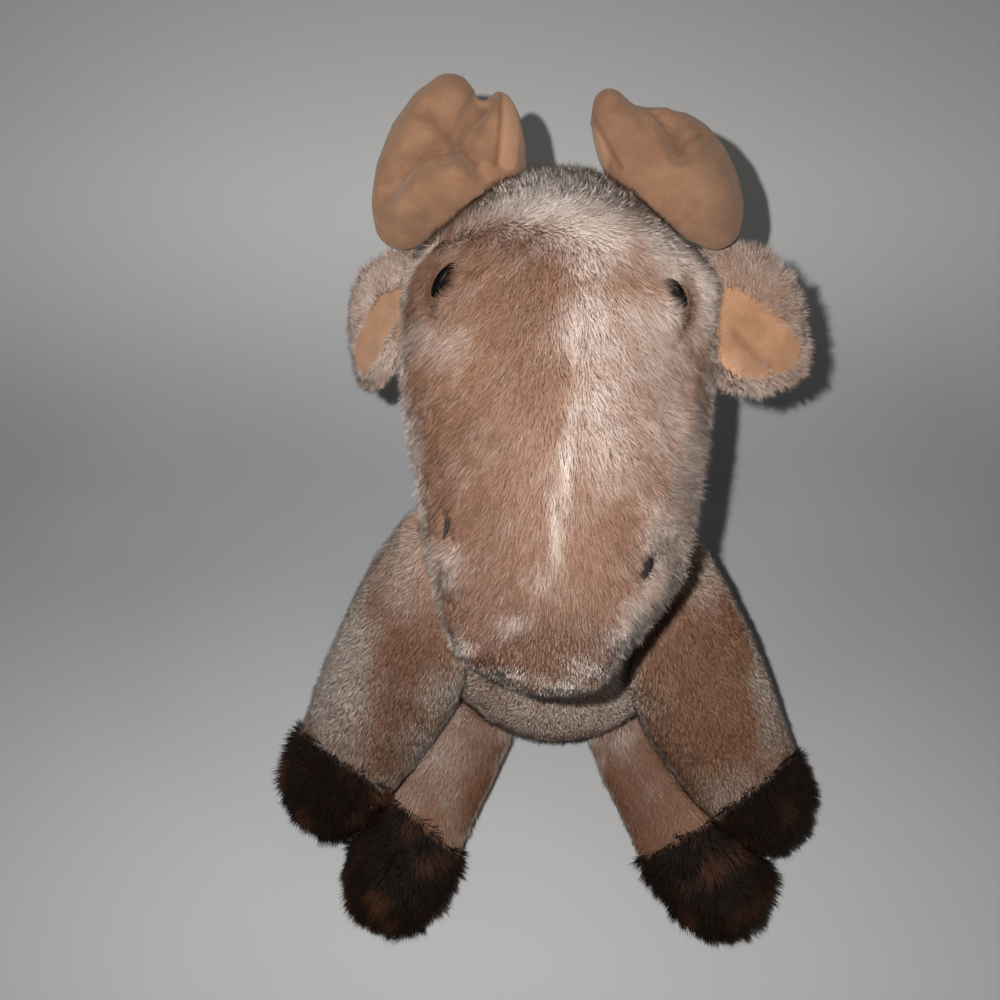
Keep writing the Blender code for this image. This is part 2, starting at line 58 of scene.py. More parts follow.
cameraData = bpy.data.cameras.new("camera")
camera = bpy.data.objects.new("camera", cameraData)
scene.collection.objects.link(camera)
cameraData.lens = cameraFacts["lens"]
cameraData.sensor_width = cameraFacts["sensor"]
cameraData.shift_x = cameraFacts["shiftX"]
cameraData.clip_start = 0.01
rise = math.radians(cameraFacts["elevation"])
aim = Vector((0, cameraFacts["aimY"], 0))
camera.location = aim + cameraFacts["distance"] * Vector((0, -math.cos(rise), math.sin(rise)))
turned = (aim - camera.location).to_track_quat("-Z", "Y")
camera.rotation_euler = turned.to_euler()
scene.camera = camera
cameraTurn, cameraPlace = np.array(turned.to_matrix()), np.array(camera.location)
middleX, middleY = pictureSize / 2 - pictureSize * cameraFacts["shiftX"], pictureSize / 2


def pictureSpots(points):
    # where points fall in the picture, from its top left corner
    local = (np.asarray(points) - cameraPlace) @ cameraTurn
    scale = pictureSize * cameraFacts["lens"] / cameraFacts["sensor"] / -local[:, 2]
    return np.stack((middleX + local[:, 0] * scale, middleY - local[:, 1] * scale), axis=1)


def sightLine(x, y):
    ray = np.array(((x - middleX) / pictureSize, (middleY - y) / pictureSize, -1.0))
    return Vector(cameraTurn @ ray).normalized()


# Node helpers: an input is a value or the output that feeds it
def shaderNode(tree, kind, inputs=None, **settings):
    node = tree.nodes.new(kind)
    for key, value in settings.items():
        setattr(node, key, value)
    for key, value in (inputs or {}).items():
        if isinstance(value, bpy.types.NodeSocket):
            tree.links.new(value, node.inputs[key])
        else:
            node.inputs[key].default_value = value
    return node


def newMaterial(name):
    material = bpy.data.materials.new(name)
    material.use_nodes = True
    material.node_tree.nodes.clear()
    return material, material.node_tree


def principled(tree, inputs):
    shader = shaderNode(tree, "ShaderNodeBsdfPrincipled", inputs)
    shaderNode(tree, "ShaderNodeOutputMaterial", {"Surface": shader.outputs[0]})


def objectCoords(tree):
    return shaderNode(tree, "ShaderNodeTexCoord").outputs["Object"]


def attributeOf(tree, name, output="Fac"):
    return shaderNode(tree, "ShaderNodeAttribute", attribute_name=name).outputs[output]


def noiseOf(tree, coords, size, detail, rough=0.5):
    # size is the width of one blotch in metres
    return shaderNode(tree, "ShaderNodeTexNoise", {"Vector": coords, "Scale": 1 / size, "Detail": detail,
                                                   "Roughness": rough}).outputs["Fac"]


def ranged(tree, value, low, high, toLow=0.0, toHigh=1.0, kind="SMOOTHSTEP"):
    inputs = {"Value": value, "From Min": low, "From Max": high, "To Min": toLow, "To Max": toHigh}
    return shaderNode(tree, "ShaderNodeMapRange", inputs, interpolation_type=kind).outputs["Result"]


def mathOf(tree, operation, first, second):
    return shaderNode(tree, "ShaderNodeMath", {0: first, 1: second}, operation=operation).outputs[0]


def colourMix(tree, share, first, second):
    first, second = (linear(colour) if isinstance(colour, str) else colour for colour in (first, second))
    return shaderNode(tree, "ShaderNodeMix", {0: share, 6: first, 7: second}, data_type="RGBA").outputs[2]


def shifted(tree, colour, value, saturation=1.0):
    return shaderNode(tree, "ShaderNodeHueSaturation", {"Color": colour, "Saturation": saturation,
                                                        "Value": value}).outputs[0]


def bumpOf(tree, strength, depth, height):
    inputs = {"Strength": strength, "Distance": depth, "Height": height}
    return shaderNode(tree, "ShaderNodeBump", inputs).outputs["Normal"]


def geometryTree(name, sockets, output):
    # a geometry tree, its inputs and the socket that its result goes into
    tree = bpy.data.node_groups.new(name, "GeometryNodeTree")
    for label, kind in sockets.items():
        tree.interface.new_socket(label, in_out="INPUT", socket_type="NodeSocket" + kind)
    tree.interface.new_socket(output, in_out="OUTPUT", socket_type="NodeSocketGeometry")
    return tree, tree.nodes.new("NodeGroupInput").outputs, tree.nodes.new("NodeGroupOutput").inputs[output]


# Floor and light: pale grey paper, a small key beside the lens, and three low lamps and a dim room that
# keep the toy's sides from going black
floorFacts = {
    # painted light and shade: the sheet is lighter in front of the toy and behind it, and a little darker to
    # the right; metres
    "main": "#b6b7b9", "mottle": "#aeafb0", "far": "#fbfaf8", "farSpan": (0.05, 0.19),
    "near": "#e2e1e0", "nearSpan": (0.03, -0.12), "acrossSpan": (-0.17, 0.17), "acrossValue": (1.07, 0.9),
    "radius": 3.0,
}
roomFacts = {"seen": "#a9a9a7", "light": 0.028}
lampAim = (0, 0.02, 0.03)
lampFacts = {
    # place, width and power of each disk lamp
    "key": ((-0.014, -0.047, 0.352), 0.0025, 0.76),
    "fill": ((1.2, -0.9, 0.24), 0.4, 2.0),
    "side": ((-1.4, 0.0, 0.24), 0.4, 2.0),
    "back": ((0.4, 1.4, 0.24), 0.4, 1.6),
}


def floorFinish():
    # matt seamless paper, faintly mottled, with painted light and shade from front to back and across
    facts = floorFacts
    material, tree = newMaterial("seamlessPaperMatt")
    coords = objectCoords(tree)
    blotch, tooth = noiseOf(tree, coords, 0.12, 3.0), noiseOf(tree, coords, 0.0009, 4.0)
    colour = colourMix(tree, ranged(tree, blotch, 0.3, 0.7), facts["main"], facts["mottle"])
    across, depth = shaderNode(tree, "ShaderNodeSeparateXYZ", {0: coords}).outputs[:2]
    # painted light: lighter far behind and close in front, then painted shade towards the right
    colour = colourMix(tree, ranged(tree, depth, *facts["farSpan"]), colour, facts["far"])
    colour = colourMix(tree, ranged(tree, depth, *facts["nearSpan"]), colour, facts["near"])
    colour = shifted(tree, colour, ranged(tree, across, *facts["acrossSpan"], *facts["acrossValue"]))
    principled(tree, {"Base Color": colour, "Roughness": 0.85, "Specular IOR Level": 0.2,
                      "Normal": bumpOf(tree, 0.12, 0.0001, tooth)})
    return material


def meshOf(shape, name, smooth=True):
    mesh = bpy.data.meshes.new(name)
    shape.to_mesh(mesh)
    shape.free()
    for face in mesh.polygons:
        face.use_smooth = smooth
    return mesh


def newPiece(name, mesh):
    piece = bpy.data.objects.new(name, mesh)
    scene.collection.objects.link(piece)
    return piece


def makeStage():
    sheet = bmesh.new()
    bmesh.ops.create_circle(sheet, cap_ends=True, radius=floorFacts["radius"], segments=96)
    bmesh.ops.triangulate(sheet, faces=sheet.faces)
    floor = newPiece("paperFloor", meshOf(sheet, "paperFloor", smooth=False))
    floor.data.materials.append(floorFinish())

    # the room is pale where it is seen, and gives little light
    world = bpy.data.worlds.new("paleRoom")
    world.use_nodes = True
    tree = world.node_tree
    back = tree.nodes["Background"]
    rays = shaderNode(tree, "ShaderNodeLightPath").outputs
    seen = mathOf(tree, "MAXIMUM", rays["Is Camera Ray"],
                  mathOf(tree, "MAXIMUM", rays["Is Glossy Ray"], rays["Is Transmission Ray"]))
    tree.links.new(colourMix(tree, seen, (1.0, 1.0, 1.0, 1.0), roomFacts["seen"]), back.inputs["Color"])
    tree.links.new(ranged(tree, seen, 0.0, 1.0, roomFacts["light"], 1.0, "LINEAR"), back.inputs["Strength"])
    scene.world = world

    for name, (place, width, power) in lampFacts.items():
        lamp = bpy.data.lights.new(name + "Light", "AREA")
        lamp.shape = "DISK"
        lamp.size = width
        lamp.energy = power
        holder = bpy.data.objects.new(name + "Light", lamp)
        scene.collection.objects.link(holder)
        holder.location = place
        holder.rotation_euler = (Vector(lampAim) - holder.location).to_track_quat("-Z", "Y").to_euler()


makeStage()
scene.view_settings.view_transform = "Standard"
print("stage: camera, paper floor and four lamps")


# Meshes as arrays
def readPoints(mesh):
    data = np.empty(len(mesh.vertices) * 3, np.float32)
    mesh.vertices.foreach_get("co", data)
    return data.reshape(-1, 3).astype(float)


def readNormals(mesh):
    data = np.empty(len(mesh.vertices) * 3, np.float32)
    mesh.vertex_normals.foreach_get("vector", data)
    return data.reshape(-1, 3).astype(float)


def writePoints(mesh, points):
    mesh.vertices.foreach_set("co", np.ascontiguousarray(points, np.float32).ravel())
    mesh.update()


def storeFloat(mesh, name, values):
    layer = mesh.attributes.get(name) or mesh.attributes.new(name, "FLOAT", "POINT")
    layer.data.foreach_set("value", np.ascontiguousarray(values, np.float32))


def storeVector(mesh, name, values):
    layer = mesh.attributes.get(name) or mesh.attributes.new(name, "FLOAT_VECTOR", "POINT")
    layer.data.foreach_set("vector", np.ascontiguousarray(values, np.float32).ravel())


def readFloat(mesh, name):
    out = np.zeros(len(mesh.vertices), np.float32)
    layer = mesh.attributes.get(name)
    if layer:
        layer.data.foreach_get("value", out)
    return out.astype(float)


def smoothStep(values, low, high):
    share = np.clip((values - low) / (high - low), 0, 1)
    return share * share * (3 - 2 * share)


def evaluatedMesh(piece):
    graph = bpy.context.evaluated_depsgraph_get()
    return bpy.data.meshes.new_from_object(piece.evaluated_get(graph), preserve_all_data_layers=True,
                                           depsgraph=graph)


def settle(piece):
    # bakes every modifier into the mesh
    mesh, old = evaluatedMesh(piece), piece.data
    piece.modifiers.clear()
    piece.data = mesh
    mesh.name = piece.name
    bpy.data.meshes.remove(old)


def makeFiner(piece, levels):
    finer = piece.modifiers.new("finer", "SUBSURF")
    finer.levels = finer.render_levels = levels
    settle(piece)
    for face in piece.data.polygons:
        face.use_smooth = True


def madeBy(tree, name, mesh, values):
    # runs a geometry tree on a mesh and keeps what it makes as a piece
    source = newPiece("source", mesh)
    modifier = source.modifiers.new("make", "NODES")
    modifier.node_group = tree
    sockets = {item.name: item.identifier for item in tree.interface.items_tree if item.in_out == "INPUT"}
    for label, value in values.items():
        modifier[sockets[label]] = value
    made = evaluatedMesh(source)
    bpy.data.objects.remove(source)
    made.name = name
    return newPiece(name, made)


def turnOutward(shape):
    bmesh.ops.recalc_face_normals(shape, faces=shape.faces)
    if shape.calc_volume(signed=True) < 0:
        bmesh.ops.reverse_faces(shape, faces=shape.faces)


def biggestIsland(mesh):
    shape = bmesh.new()
    shape.from_mesh(mesh)
    left = set(shape.verts)
    islands = []
    while left:
        seed = left.pop()
        island, queue = [seed], [seed]
        while queue:
            vert = queue.pop()
            for edge in vert.link_edges:
                other = edge.other_vert(vert)
                if other in left:
                    left.remove(other)
                    island.append(other)
                    queue.append(other)
        islands.append(island)
    islands.sort(key=len)
    for island in islands[:-1]:
        bmesh.ops.delete(shape, geom=island, context="VERTS")
    turnOutward(shape)
    shape.to_mesh(mesh)
    shape.free()


def relax(mesh, rounds):
    shape = bmesh.new()
    shape.from_mesh(mesh)
    for step in range(rounds):
        bmesh.ops.smooth_vert(shape, verts=shape.verts, factor=0.5, use_axis_x=True, use_axis_y=True,
                              use_axis_z=True)
    shape.to_mesh(mesh)
    shape.free()
    mesh.update()


# Stuffed skins: the cloth and its filling are remeshed as one, shrunk a little and puffed up again
clothFacts = {"quality": 3, "mass": 0.3, "pressure": 30.0, "frames": 20, "evenShare": 0.7, "ownShare": 0.5,
              "floorMm": 0.4}


def puffUp(piece, points, cap):
    # an even swelling, and the cloth's own movement up to a cap
    facts, starting = clothFacts, readNormals(piece.data)
    puff = piece.modifiers.new("puff", "CLOTH")
    puff.settings.quality = facts["quality"]
    puff.settings.mass = facts["mass"]
    puff.settings.use_pressure = True
    puff.settings.uniform_pressure_force = facts["pressure"]
    puff.settings.effector_weights.gravity = 0.0
    puff.collision_settings.use_collision = False
    puff.point_cache.frame_start, puff.point_cache.frame_end = 1, facts["frames"]
    for count in range(facts["frames"]):
        scene.frame_set(count + 1)
    settle(piece)
    scene.frame_set(1)
    moved = readPoints(piece.data) - points
    far = np.linalg.norm(moved, axis=1, keepdims=True)
    print(f"  {piece.name}: puffed by {far.mean() / mm:.2f} mm, most {far.max() / mm:.2f} mm")
    own = moved * np.minimum(1, facts["ownShare"] * cap / np.maximum(far, 1e-9))
    return points + starting * facts["evenShare"] * cap + own


def softSkin(name, parts, facts):
    joined = bmesh.new()
    for part in parts:
        joined.from_mesh(nodes[part].data)
    bmesh.ops.remove_doubles(joined, verts=joined.verts, dist=1e-6)
    for place, radii in facts.get("fillings", {}).get(name, ()):
        ball = bmesh.ops.create_uvsphere(joined, u_segments=24, v_segments=16, radius=mm)["verts"]
        bmesh.ops.scale(joined, verts=ball, vec=radii)
        bmesh.ops.translate(joined, verts=ball, vec=Vector(place) * mm)
    piece = newPiece(name, meshOf(joined, name, smooth=False))
    remesh = piece.modifiers.new("even", "REMESH")
    remesh.mode = "VOXEL"
    remesh.voxel_size = facts["voxelMm"] * mm
    settle(piece)
    biggestIsland(piece.data)
    relax(piece.data, facts.get("smooth", 4))
    points = readPoints(piece.data) - readNormals(piece.data) * facts["shrinkMm"] * mm
    writePoints(piece.data, points)
    points = puffUp(piece, points, facts["capMm"] * mm)
    points[:, 2] = np.maximum(points[:, 2], clothFacts["floorMm"] * mm)
    writePoints(piece.data, points)
    makeFiner(piece, facts.get("finer", 1))
    return piece


skinFacts = {
    # fillings are balls that round out a lobe, each given by its middle and radii in mm
    "headPlush": {"voxelMm": 2.0, "shrinkMm": 0.9, "capMm": 1.1},
    "bodyPlush": {"voxelMm": 2.4, "shrinkMm": 0.9, "capMm": 0.9},
    "frontLeg": {"voxelMm": 2.2, "shrinkMm": 0.9, "capMm": 0.9},
    "hindLeg": {"voxelMm": 2.1, "shrinkMm": 0.9, "capMm": 0.9},
    "antler": {"voxelMm": 1.1, "shrinkMm": 0.5, "capMm": 0.8, "smooth": 3, "fillings": {
        "antlerRight": [((-15.2, 81.4, 166.2), (3.3, 3.5, 3.4))],
        "antlerLeft": [((20.4, 82.2, 166.0), (4.2, 3.5, 3.4))]}},
    "earPlush": {"voxelMm": 0.85, "shrinkMm": 0.15, "capMm": 0.2, "smooth": 3, "finer": 0},
    "earLining": {"voxelMm": 0.7, "shrinkMm": 0.1, "capMm": 0.1, "smooth": 2, "finer": 0},
    "tailPlush": {"voxelMm": 0.9, "shrinkMm": 0.4, "capMm": 0.4, "finer": 0},
}
wholeParts = {"headPlush": ["head_side_left", "head_side_right", "head_stuffing"],
              "bodyPlush": ["belly_panel", "body_side_left", "body_side_right", "body_stuffing"],
              "tailPlush": ["tail"]}
pairedParts = {"frontLeg": ["front_leg", "front_hoof", "front_leg_stuffing"],
               "hindLeg": ["hind_leg", "hind_hoof", "hind_leg_stuffing"],
               "antler": ["antler_front", "antler_back", "antler_stuffing"],
               "earPlush": ["ear_back"], "earLining": ["ear_lining"]}
sides = {"left": "Left", "right": "Right"}
skins = {name: softSkin(name, parts, skinFacts[name]) for name, parts in wholeParts.items()}
for side, ending in sides.items():
    for kind, parts in pairedParts.items():
        skins[kind + ending] = softSkin(kind + ending, [f"{part}_{side}" for part in parts], skinFacts[kind])
print("skins:", {name: len(skin.data.polygons) for name, skin in skins.items()})


# Seams, creases and sockets, pressed in along lines given in picture points
traceFacts = {"raysPerStretch": 8, "step": 0.0006, "widestGap": 0.012, "farAway": 1.0, "block": 4000}


def skinTree(mesh):
    return BVHTree.FromPolygons([v.co for v in mesh.vertices], [tuple(p.vertices) for p in mesh.polygons])


def lineOnSkin(mesh, spots):
    # the line is seen through the camera and followed where it lands on the skin
    facts, tree = traceFacts, skinTree(mesh)
    seen = [tuple(a + (b - a) * part / facts["raysPerStretch"] for a, b in zip(first, second))
            for first, second in zip(spots, spots[1:]) for part in range(facts["raysPerStretch"])]
    hits = [tree.ray_cast(camera.location, sightLine(*spot))[0] for spot in seen + [spots[-1]]]
    found = [hit for hit in hits if hit is not None]
    dense = []
    for first, second in zip(found, found[1:]):
        gap = (second - first).length
        if gap <= facts["widestGap"]:
            count = max(1, int(gap / facts["step"]))
            dense += [first.lerp(second, i / count) for i in range(count)]
    return np.array([tuple(p) for p in dense + found[-1:]]).reshape(-1, 3)


def nearest(points, line):
    # distance from every point to the closest point of a line, worked out in blocks
    out, block = np.full(len(points), traceFacts["farAway"]), traceFacts["block"]
    for start in range(0, len(points), block):
        some = points[start:start + block]
        out[start:start + block] = np.sqrt(((some[:, None, :] - line[None]) ** 2).sum(2).min(1))
    return out


def press(piece, lines):
    # each line is (picture points, depth in mm, half width in mm, 1 to be marked as a crease that gets
    # painted shade)
    mesh = piece.data
    points, normals = readPoints(mesh), readNormals(mesh)
    marks = readFloat(mesh, "crease")
    move = np.zeros(len(points))
    for spots, depthMm, widthMm, marked in lines:
        line = lineOnSkin(mesh, spots)
        if len(line):
            share = np.clip(1 - nearest(points, line) / (widthMm * mm), 0, 1)
            share = share ** 2 * (3 - 2 * share)
            move -= share * depthMm * mm
            # the mark darkens the felt there: painted shade in the crease
            marks = np.maximum(marks, marked * share)
    writePoints(mesh, points + normals * move[:, None])
    storeFloat(mesh, "crease", marks)


earDrape = {"normal": (0.5, 0.0, 0.86), "from": 722, "to": 796, "edge": (354, 388), "drop": 27, "reach": 55}


def drapeEar(piece):
    # the ear's lower edge hangs to where the photograph shows it, and the ear stretches in its own plane
    facts = earDrape
    points = readPoints(piece.data)
    picture = pictureSpots(points)
    share = np.clip((picture[:, 0] - facts["from"]) / (facts["to"] - facts["from"]), 0, 1)
    edge = facts["edge"][0] + (facts["edge"][1] - facts["edge"][0]) * share
    drop = facts["drop"] * (1 - share) * smoothStep(picture[:, 1], edge - facts["reach"], edge)
    middle = Vector(points.mean(0)) - camera.location
    normal, down = Vector(facts["normal"]), -(camera.rotation_euler.to_matrix() @ Vector((0, 1, 0)))
    slide = np.array(down - middle * (down.dot(normal) / middle.dot(normal)))
    writePoints(piece.data, points + slide * (drop * middle.length / pictureSize)[:, None])


for name in ("earPlushLeft", "earLiningLeft"):
    drapeEar(skins[name])

legBulge = {"from": (610, 700), "to": (650, 850), "outMm": 5.5, "acrossPx": 62, "begins": (690, 735),
            "ends": (850, 905)}


def fillLeg(piece):
    # this leg is stuffed out on its inner side, towards the other leg
    facts = legBulge
    points = readPoints(piece.data)
    picture = pictureSpots(points)
    along = np.clip((picture[:, 1] - facts["from"][1]) / (facts["to"][1] - facts["from"][1]), 0, 1)
    edge = facts["from"][0] + (facts["to"][0] - facts["from"][0]) * along
    share = 1 - smoothStep(picture[:, 0] - edge, 0, facts["acrossPx"])
    share *= smoothStep(picture[:, 1], *facts["begins"]) * (1 - smoothStep(picture[:, 1], *facts["ends"]))
    points[:, 0] -= share * facts["outMm"] * mm
    writePoints(piece.data, points)


fillLeg(skins["hindLegLeft"])


# Long soft folds first, then the narrow creases in them
antlerFolds = {
    "right": [
        ([(487, 92), (474, 116), (460, 140)], 2.2, 3.6, 0.0),
        ([(425, 112), (440, 126), (455, 143)], 1.3, 2.6, 0.0),
        ([(388, 190), (405, 168), (430, 154), (458, 148), (480, 166)], 2.6, 4.0, 0.0),
        ([(405, 208), (430, 190), (460, 176)], -1.6, 6.5, 0.0),
        ([(410, 140), (430, 100), (450, 86)], -0.8, 6.0, 0.0),
        ([(487, 92), (472, 118), (459, 142), (480, 166)], 0.9, 1.1, 1.0),
        ([(425, 112), (440, 126), (455, 143)], 0.7, 0.9, 0.8),
        ([(396, 180), (410, 165), (432, 154), (457, 148)], 0.7, 1.0, 0.8),
        ([(502, 94), (502, 120), (498, 150), (494, 165)], 0.7, 1.1, 0.9),
    ],
    "left": [
        ([(655, 104), (670, 126), (681, 152)], 2.2, 3.8, 0.0),
        ([(690, 175), (715, 200)], -1.0, 8.0, 0.0),
        ([(655, 104), (671, 128), (681, 152)], 1.1, 1.2, 1.0),
        ([(704, 133), (692, 137), (682, 142)], 0.7, 1.1, 0.6),
        ([(587, 96), (596, 125), (609, 150), (619, 168)], 0.7, 1.1, 0.9),
    ],
}
antlerStrips = {"right": [(512, 98), (512, 125), (509, 160)], "left": [(583, 100), (589, 125), (602, 158)]}
antlerFacts = {"stripMm": (1.6, 2.6), "shadeSlope": 0.35, "shadeLevel": 170, "shadeFrom": 672, "shadeTo": 716}


def markAntler(mesh, side):
    # a pale strip along the seam, and painted shade on the outer face of one palm, which turns away from the
    # light
    facts, points = antlerFacts, readPoints(mesh)
    near, far = facts["stripMm"]
    strip = lineOnSkin(mesh, antlerStrips[side])
    storeFloat(mesh, "pale", 1 - smoothStep(nearest(points, strip), near * mm, far * mm))
    # painted shade on the palm's outer face
    if side == "left":
        spots = pictureSpots(points)
        outward = spots[:, 0] - facts["shadeSlope"] * (spots[:, 1] - facts["shadeLevel"])
        storeFloat(mesh, "grey", smoothStep(outward, facts["shadeFrom"], facts["shadeTo"]))


for side, ending in sides.items():
    press(skins["antler" + ending], antlerFolds[side])
    markAntler(skins["antler" + ending].data, side)
# the seam down the face, lids, the muzzle's two corners, its lower edge and the nostrils
press(skins["headPlush"], [
    ([(575, 320), (572, 400), (563, 480), (553, 560), (545, 640), (543, 676)], 0.7, 2.6, 1.0),
    ([(452, 306), (472, 280)], -1.4, 4.4, 0.0), ([(420, 280), (440, 254)], -1.4, 4.4, 0.0),
    ([(654, 296), (668, 318)], -1.8, 4.4, 0.0), ([(684, 266), (702, 290)], -1.4, 4.4, 0.0),
    ([(462, 560), (468, 610), (478, 645)], -3.0, 12.0, 0.0), ([(454, 620), (460, 648)], -2.6, 9.0, 0.0),
    ([(694, 510), (684, 550), (674, 590), (660, 625), (642, 655)], 5.6, 15.0, 0.0),
    ([(500, 676), (494, 660)], 1.2, 4.5, 0.0), ([(640, 618), (628, 606)], 1.2, 4.5, 0.0),
    ([(447, 515), (454, 538)], 0.9, 4.0, 0.0), ([(636, 573), (650, 560)], 0.9, 4.0, 0.0),
])
press(skins["earLiningLeft"], [([(738, 336), (754, 351), (772, 367)], 0.6, 2.4, 0.7)])
print("folds: antlers, face and ear pressed in")


# Hooves part from their legs at the seam
hoofSeams = {"frontLegRight": ((299, 727), (404, 806)), "frontLegLeft": ((802, 748), (700, 831)),
             "hindLegRight": ((400, 802), (476, 872)), "hindLegLeft": ((690, 832), (636, 862))}
hoofGap = 0.00015


def middleOf(name):
    return np.array([v.co for v in nodes[name].data.vertices]).mean(0)


def splitLeg(family, side):
    # the seam's plane holds the line of sight, so it shows as the straight edge in the photograph
    name = family + "Leg" + sides[side]
    toHoof = middleOf(f"{family}_hoof_{side}") - middleOf(f"{family}_leg_{side}")
    first, second = (sightLine(*spot) for spot in hoofSeams[name])
    along = np.array(first.cross(second).normalized())
    along *= np.sign(along @ toHoof)
    seam = cameraPlace @ along
    whole = skins[name]
    parts = []
    for part, keep in ((name, -1), (name.replace("Leg", "Hoof"), 1)):
        shape = bmesh.new()
        shape.from_mesh(whole.data)
        cut = bmesh.ops.bisect_plane(shape, geom=shape.verts[:] + shape.edges[:] + shape.faces[:], dist=1e-6,
                                     plane_co=Vector(along * (seam + keep * hoofGap)), plane_no=Vector(along),
                                     clear_outer=keep < 0, clear_inner=keep > 0)
        rim = [e for e in cut["geom_cut"] if isinstance(e, bmesh.types.BMEdge)]
        fresh = bmesh.ops.holes_fill(shape, edges=rim, sides=0)["faces"]
        bmesh.ops.triangulate(shape, faces=fresh)
        turnOutward(shape)
        parts.append(meshOf(shape, part))
    old = whole.data
    whole.data = parts[0]
    bpy.data.meshes.remove(old)
    parts[0].name = whole.name
    skins[parts[1].name] = newPiece(parts[1].name, parts[1])
    return toHoof / np.linalg.norm(toHoof)


legHeadings = {}
for side in sides:
    for family in ("front", "hind"):
        legHeadings[family, side] = splitLeg(family, side)
print("hooves: parted from the legs at their seams")


# Pile: how the nap lies, where it is frosted or brown, where painted sheen and painted shade go, and how much
# room it has
# spots are (picture x, y, half width, half height, amount)
headSpots = {
    # lighter frosted tips, and painted sheen where the pile catches the light, strongest on the rims and
    # crown
    "frost": [
        (560, 190, 95, 42, 1.0), (590, 240, 34, 34, 0.7), (665, 232, 40, 30, 0.85),
        (690, 290, 36, 45, 0.75), (650, 325, 56, 40, 0.44), (590, 330, 26, 50, 0.62),
        (602, 396, 34, 74, 0.54), (655, 400, 46, 70, 0.34), (690, 480, 24, 80, 0.6),
        (668, 560, 34, 66, 0.55), (634, 622, 22, 30, 0.7), (562, 686, 24, 10, 1.0), (505, 674, 40, 8, 0.6),
        (600, 668, 30, 10, 0.6), (446, 645, 18, 18, 0.85), (448, 338, 38, 28, 0.36),
        (398, 385, 10, 60, 0.85), (414, 480, 14, 70, 0.65), (440, 205, 30, 26, 0.5),
        # painted highlight along the nose seam and down to the nose, where the parted pile catches the light
        (567, 450, 7, 60, 0.62), (556, 520, 7, 40, 0.58), (538, 572, 16, 16, 0.25), (516, 612, 22, 8, 0.3),
        (458, 560, 12, 24, 0.45), (716, 380, 14, 110, 0.7), (436, 600, 12, 50, 0.6),
    ],
    # painted shade on the right-hand cheek, which turns away from the light
    "grey": [
        (655, 400, 50, 90, 0.18), (696, 430, 16, 60, 0.75), (684, 500, 20, 60, 0.8),
        (664, 560, 20, 40, 0.65), (640, 620, 20, 30, 0.45),
    ],
    "tufts": [
        (684, 500, 26, 120, 1.0), (648, 600, 36, 40, 1.0), (560, 690, 96, 16, 0.5), (440, 640, 24, 34, 0.9),
        (560, 168, 110, 18, 0.4), (700, 290, 24, 60, 0.7), (400, 400, 12, 120, 0.5),
        (640, 440, 40, 60, 0.4),
    ],
    # browner pile, with painted shade beside the eye on the picture's left, where the face turns away
    "dark": [
        (500, 238, 62, 34, 0.8), (525, 300, 46, 50, 0.5), (440, 250, 50, 50, 0.85), (412, 300, 20, 36, 1.0),
        (640, 264, 44, 14, 0.5), (470, 430, 50, 50, 0.5), (520, 380, 30, 60, 0.4), (480, 545, 40, 70, 0.5),
        (412, 270, 14, 34, 0.5), (655, 370, 24, 40, 0.3), (596, 640, 40, 26, 0.45),
        (540, 626, 62, 34, 0.55), (600, 505, 24, 24, 0.2),
    ],
}
legSpots = {
    # lighter frosted tips, and painted sheen along the legs' rims and over the belly
    "frost": [
        (345, 640, 30, 120, 0.95), (325, 700, 18, 60, 1.0), (405, 560, 26, 50, 0.55),
        (460, 690, 34, 30, 0.75), (430, 750, 40, 30, 0.6), (395, 790, 30, 16, 0.5),
        (615, 680, 22, 60, 0.85), (700, 555, 20, 50, 0.6), (770, 690, 20, 70, 0.7), (740, 790, 46, 26, 0.5),
        (555, 705, 80, 34, 0.85), (450, 810, 12, 40, 0.25), (508, 770, 8, 60, 0.3), (600, 790, 8, 60, 0.35),
    ],
    "dark": [
        (400, 660, 34, 80, 0.8), (690, 640, 36, 60, 0.9), (710, 720, 34, 60, 0.5), (485, 780, 34, 70, 1.0),
        (632, 790, 40, 90, 1.0), (370, 760, 30, 30, 0.5),
    ],
}
spotFacts = {"facing": (-0.05, 0.35), "warpMm": 4.0, "warpPx": 6, "squareness": 1.4, "steepness": 0.8}
pileFacts = {
    # lengths and widths in mm; lean 0 stands up, 1 lies flat; strands per square centimetre
    "head": {"length": 3.4, "width": 0.17, "perCm2": 1050, "lean": 0.68, "scatter": 0.18, "clump": 0.3,
             "clumpMm": 3.0},
    "body": {"length": 3.4, "width": 0.22, "perCm2": 430, "lean": 0.64, "scatter": 0.2, "clump": 0.36,
             "clumpMm": 3.6},
    "leg": {"length": 3.1, "width": 0.2, "perCm2": 470, "lean": 0.66, "scatter": 0.18, "clump": 0.34,
            "clumpMm": 3.2},
    "hoof": {"length": 5.2, "width": 0.36, "perCm2": 270, "lean": 0.5, "scatter": 0.08, "clump": 0.9,
             "clumpMm": 5.5, "curl": 3.2, "strand": "long"},
    "ear": {"length": 3.2, "width": 0.15, "perCm2": 900, "lean": 0.6, "scatter": 0.2, "clump": 0.6,
            "clumpMm": 2.4},
    "earRim": {"length": 2.4, "width": 0.15, "perCm2": 1100, "lean": 0.6, "scatter": 0.26, "clump": 0.5,
               "clumpMm": 2.2},
}


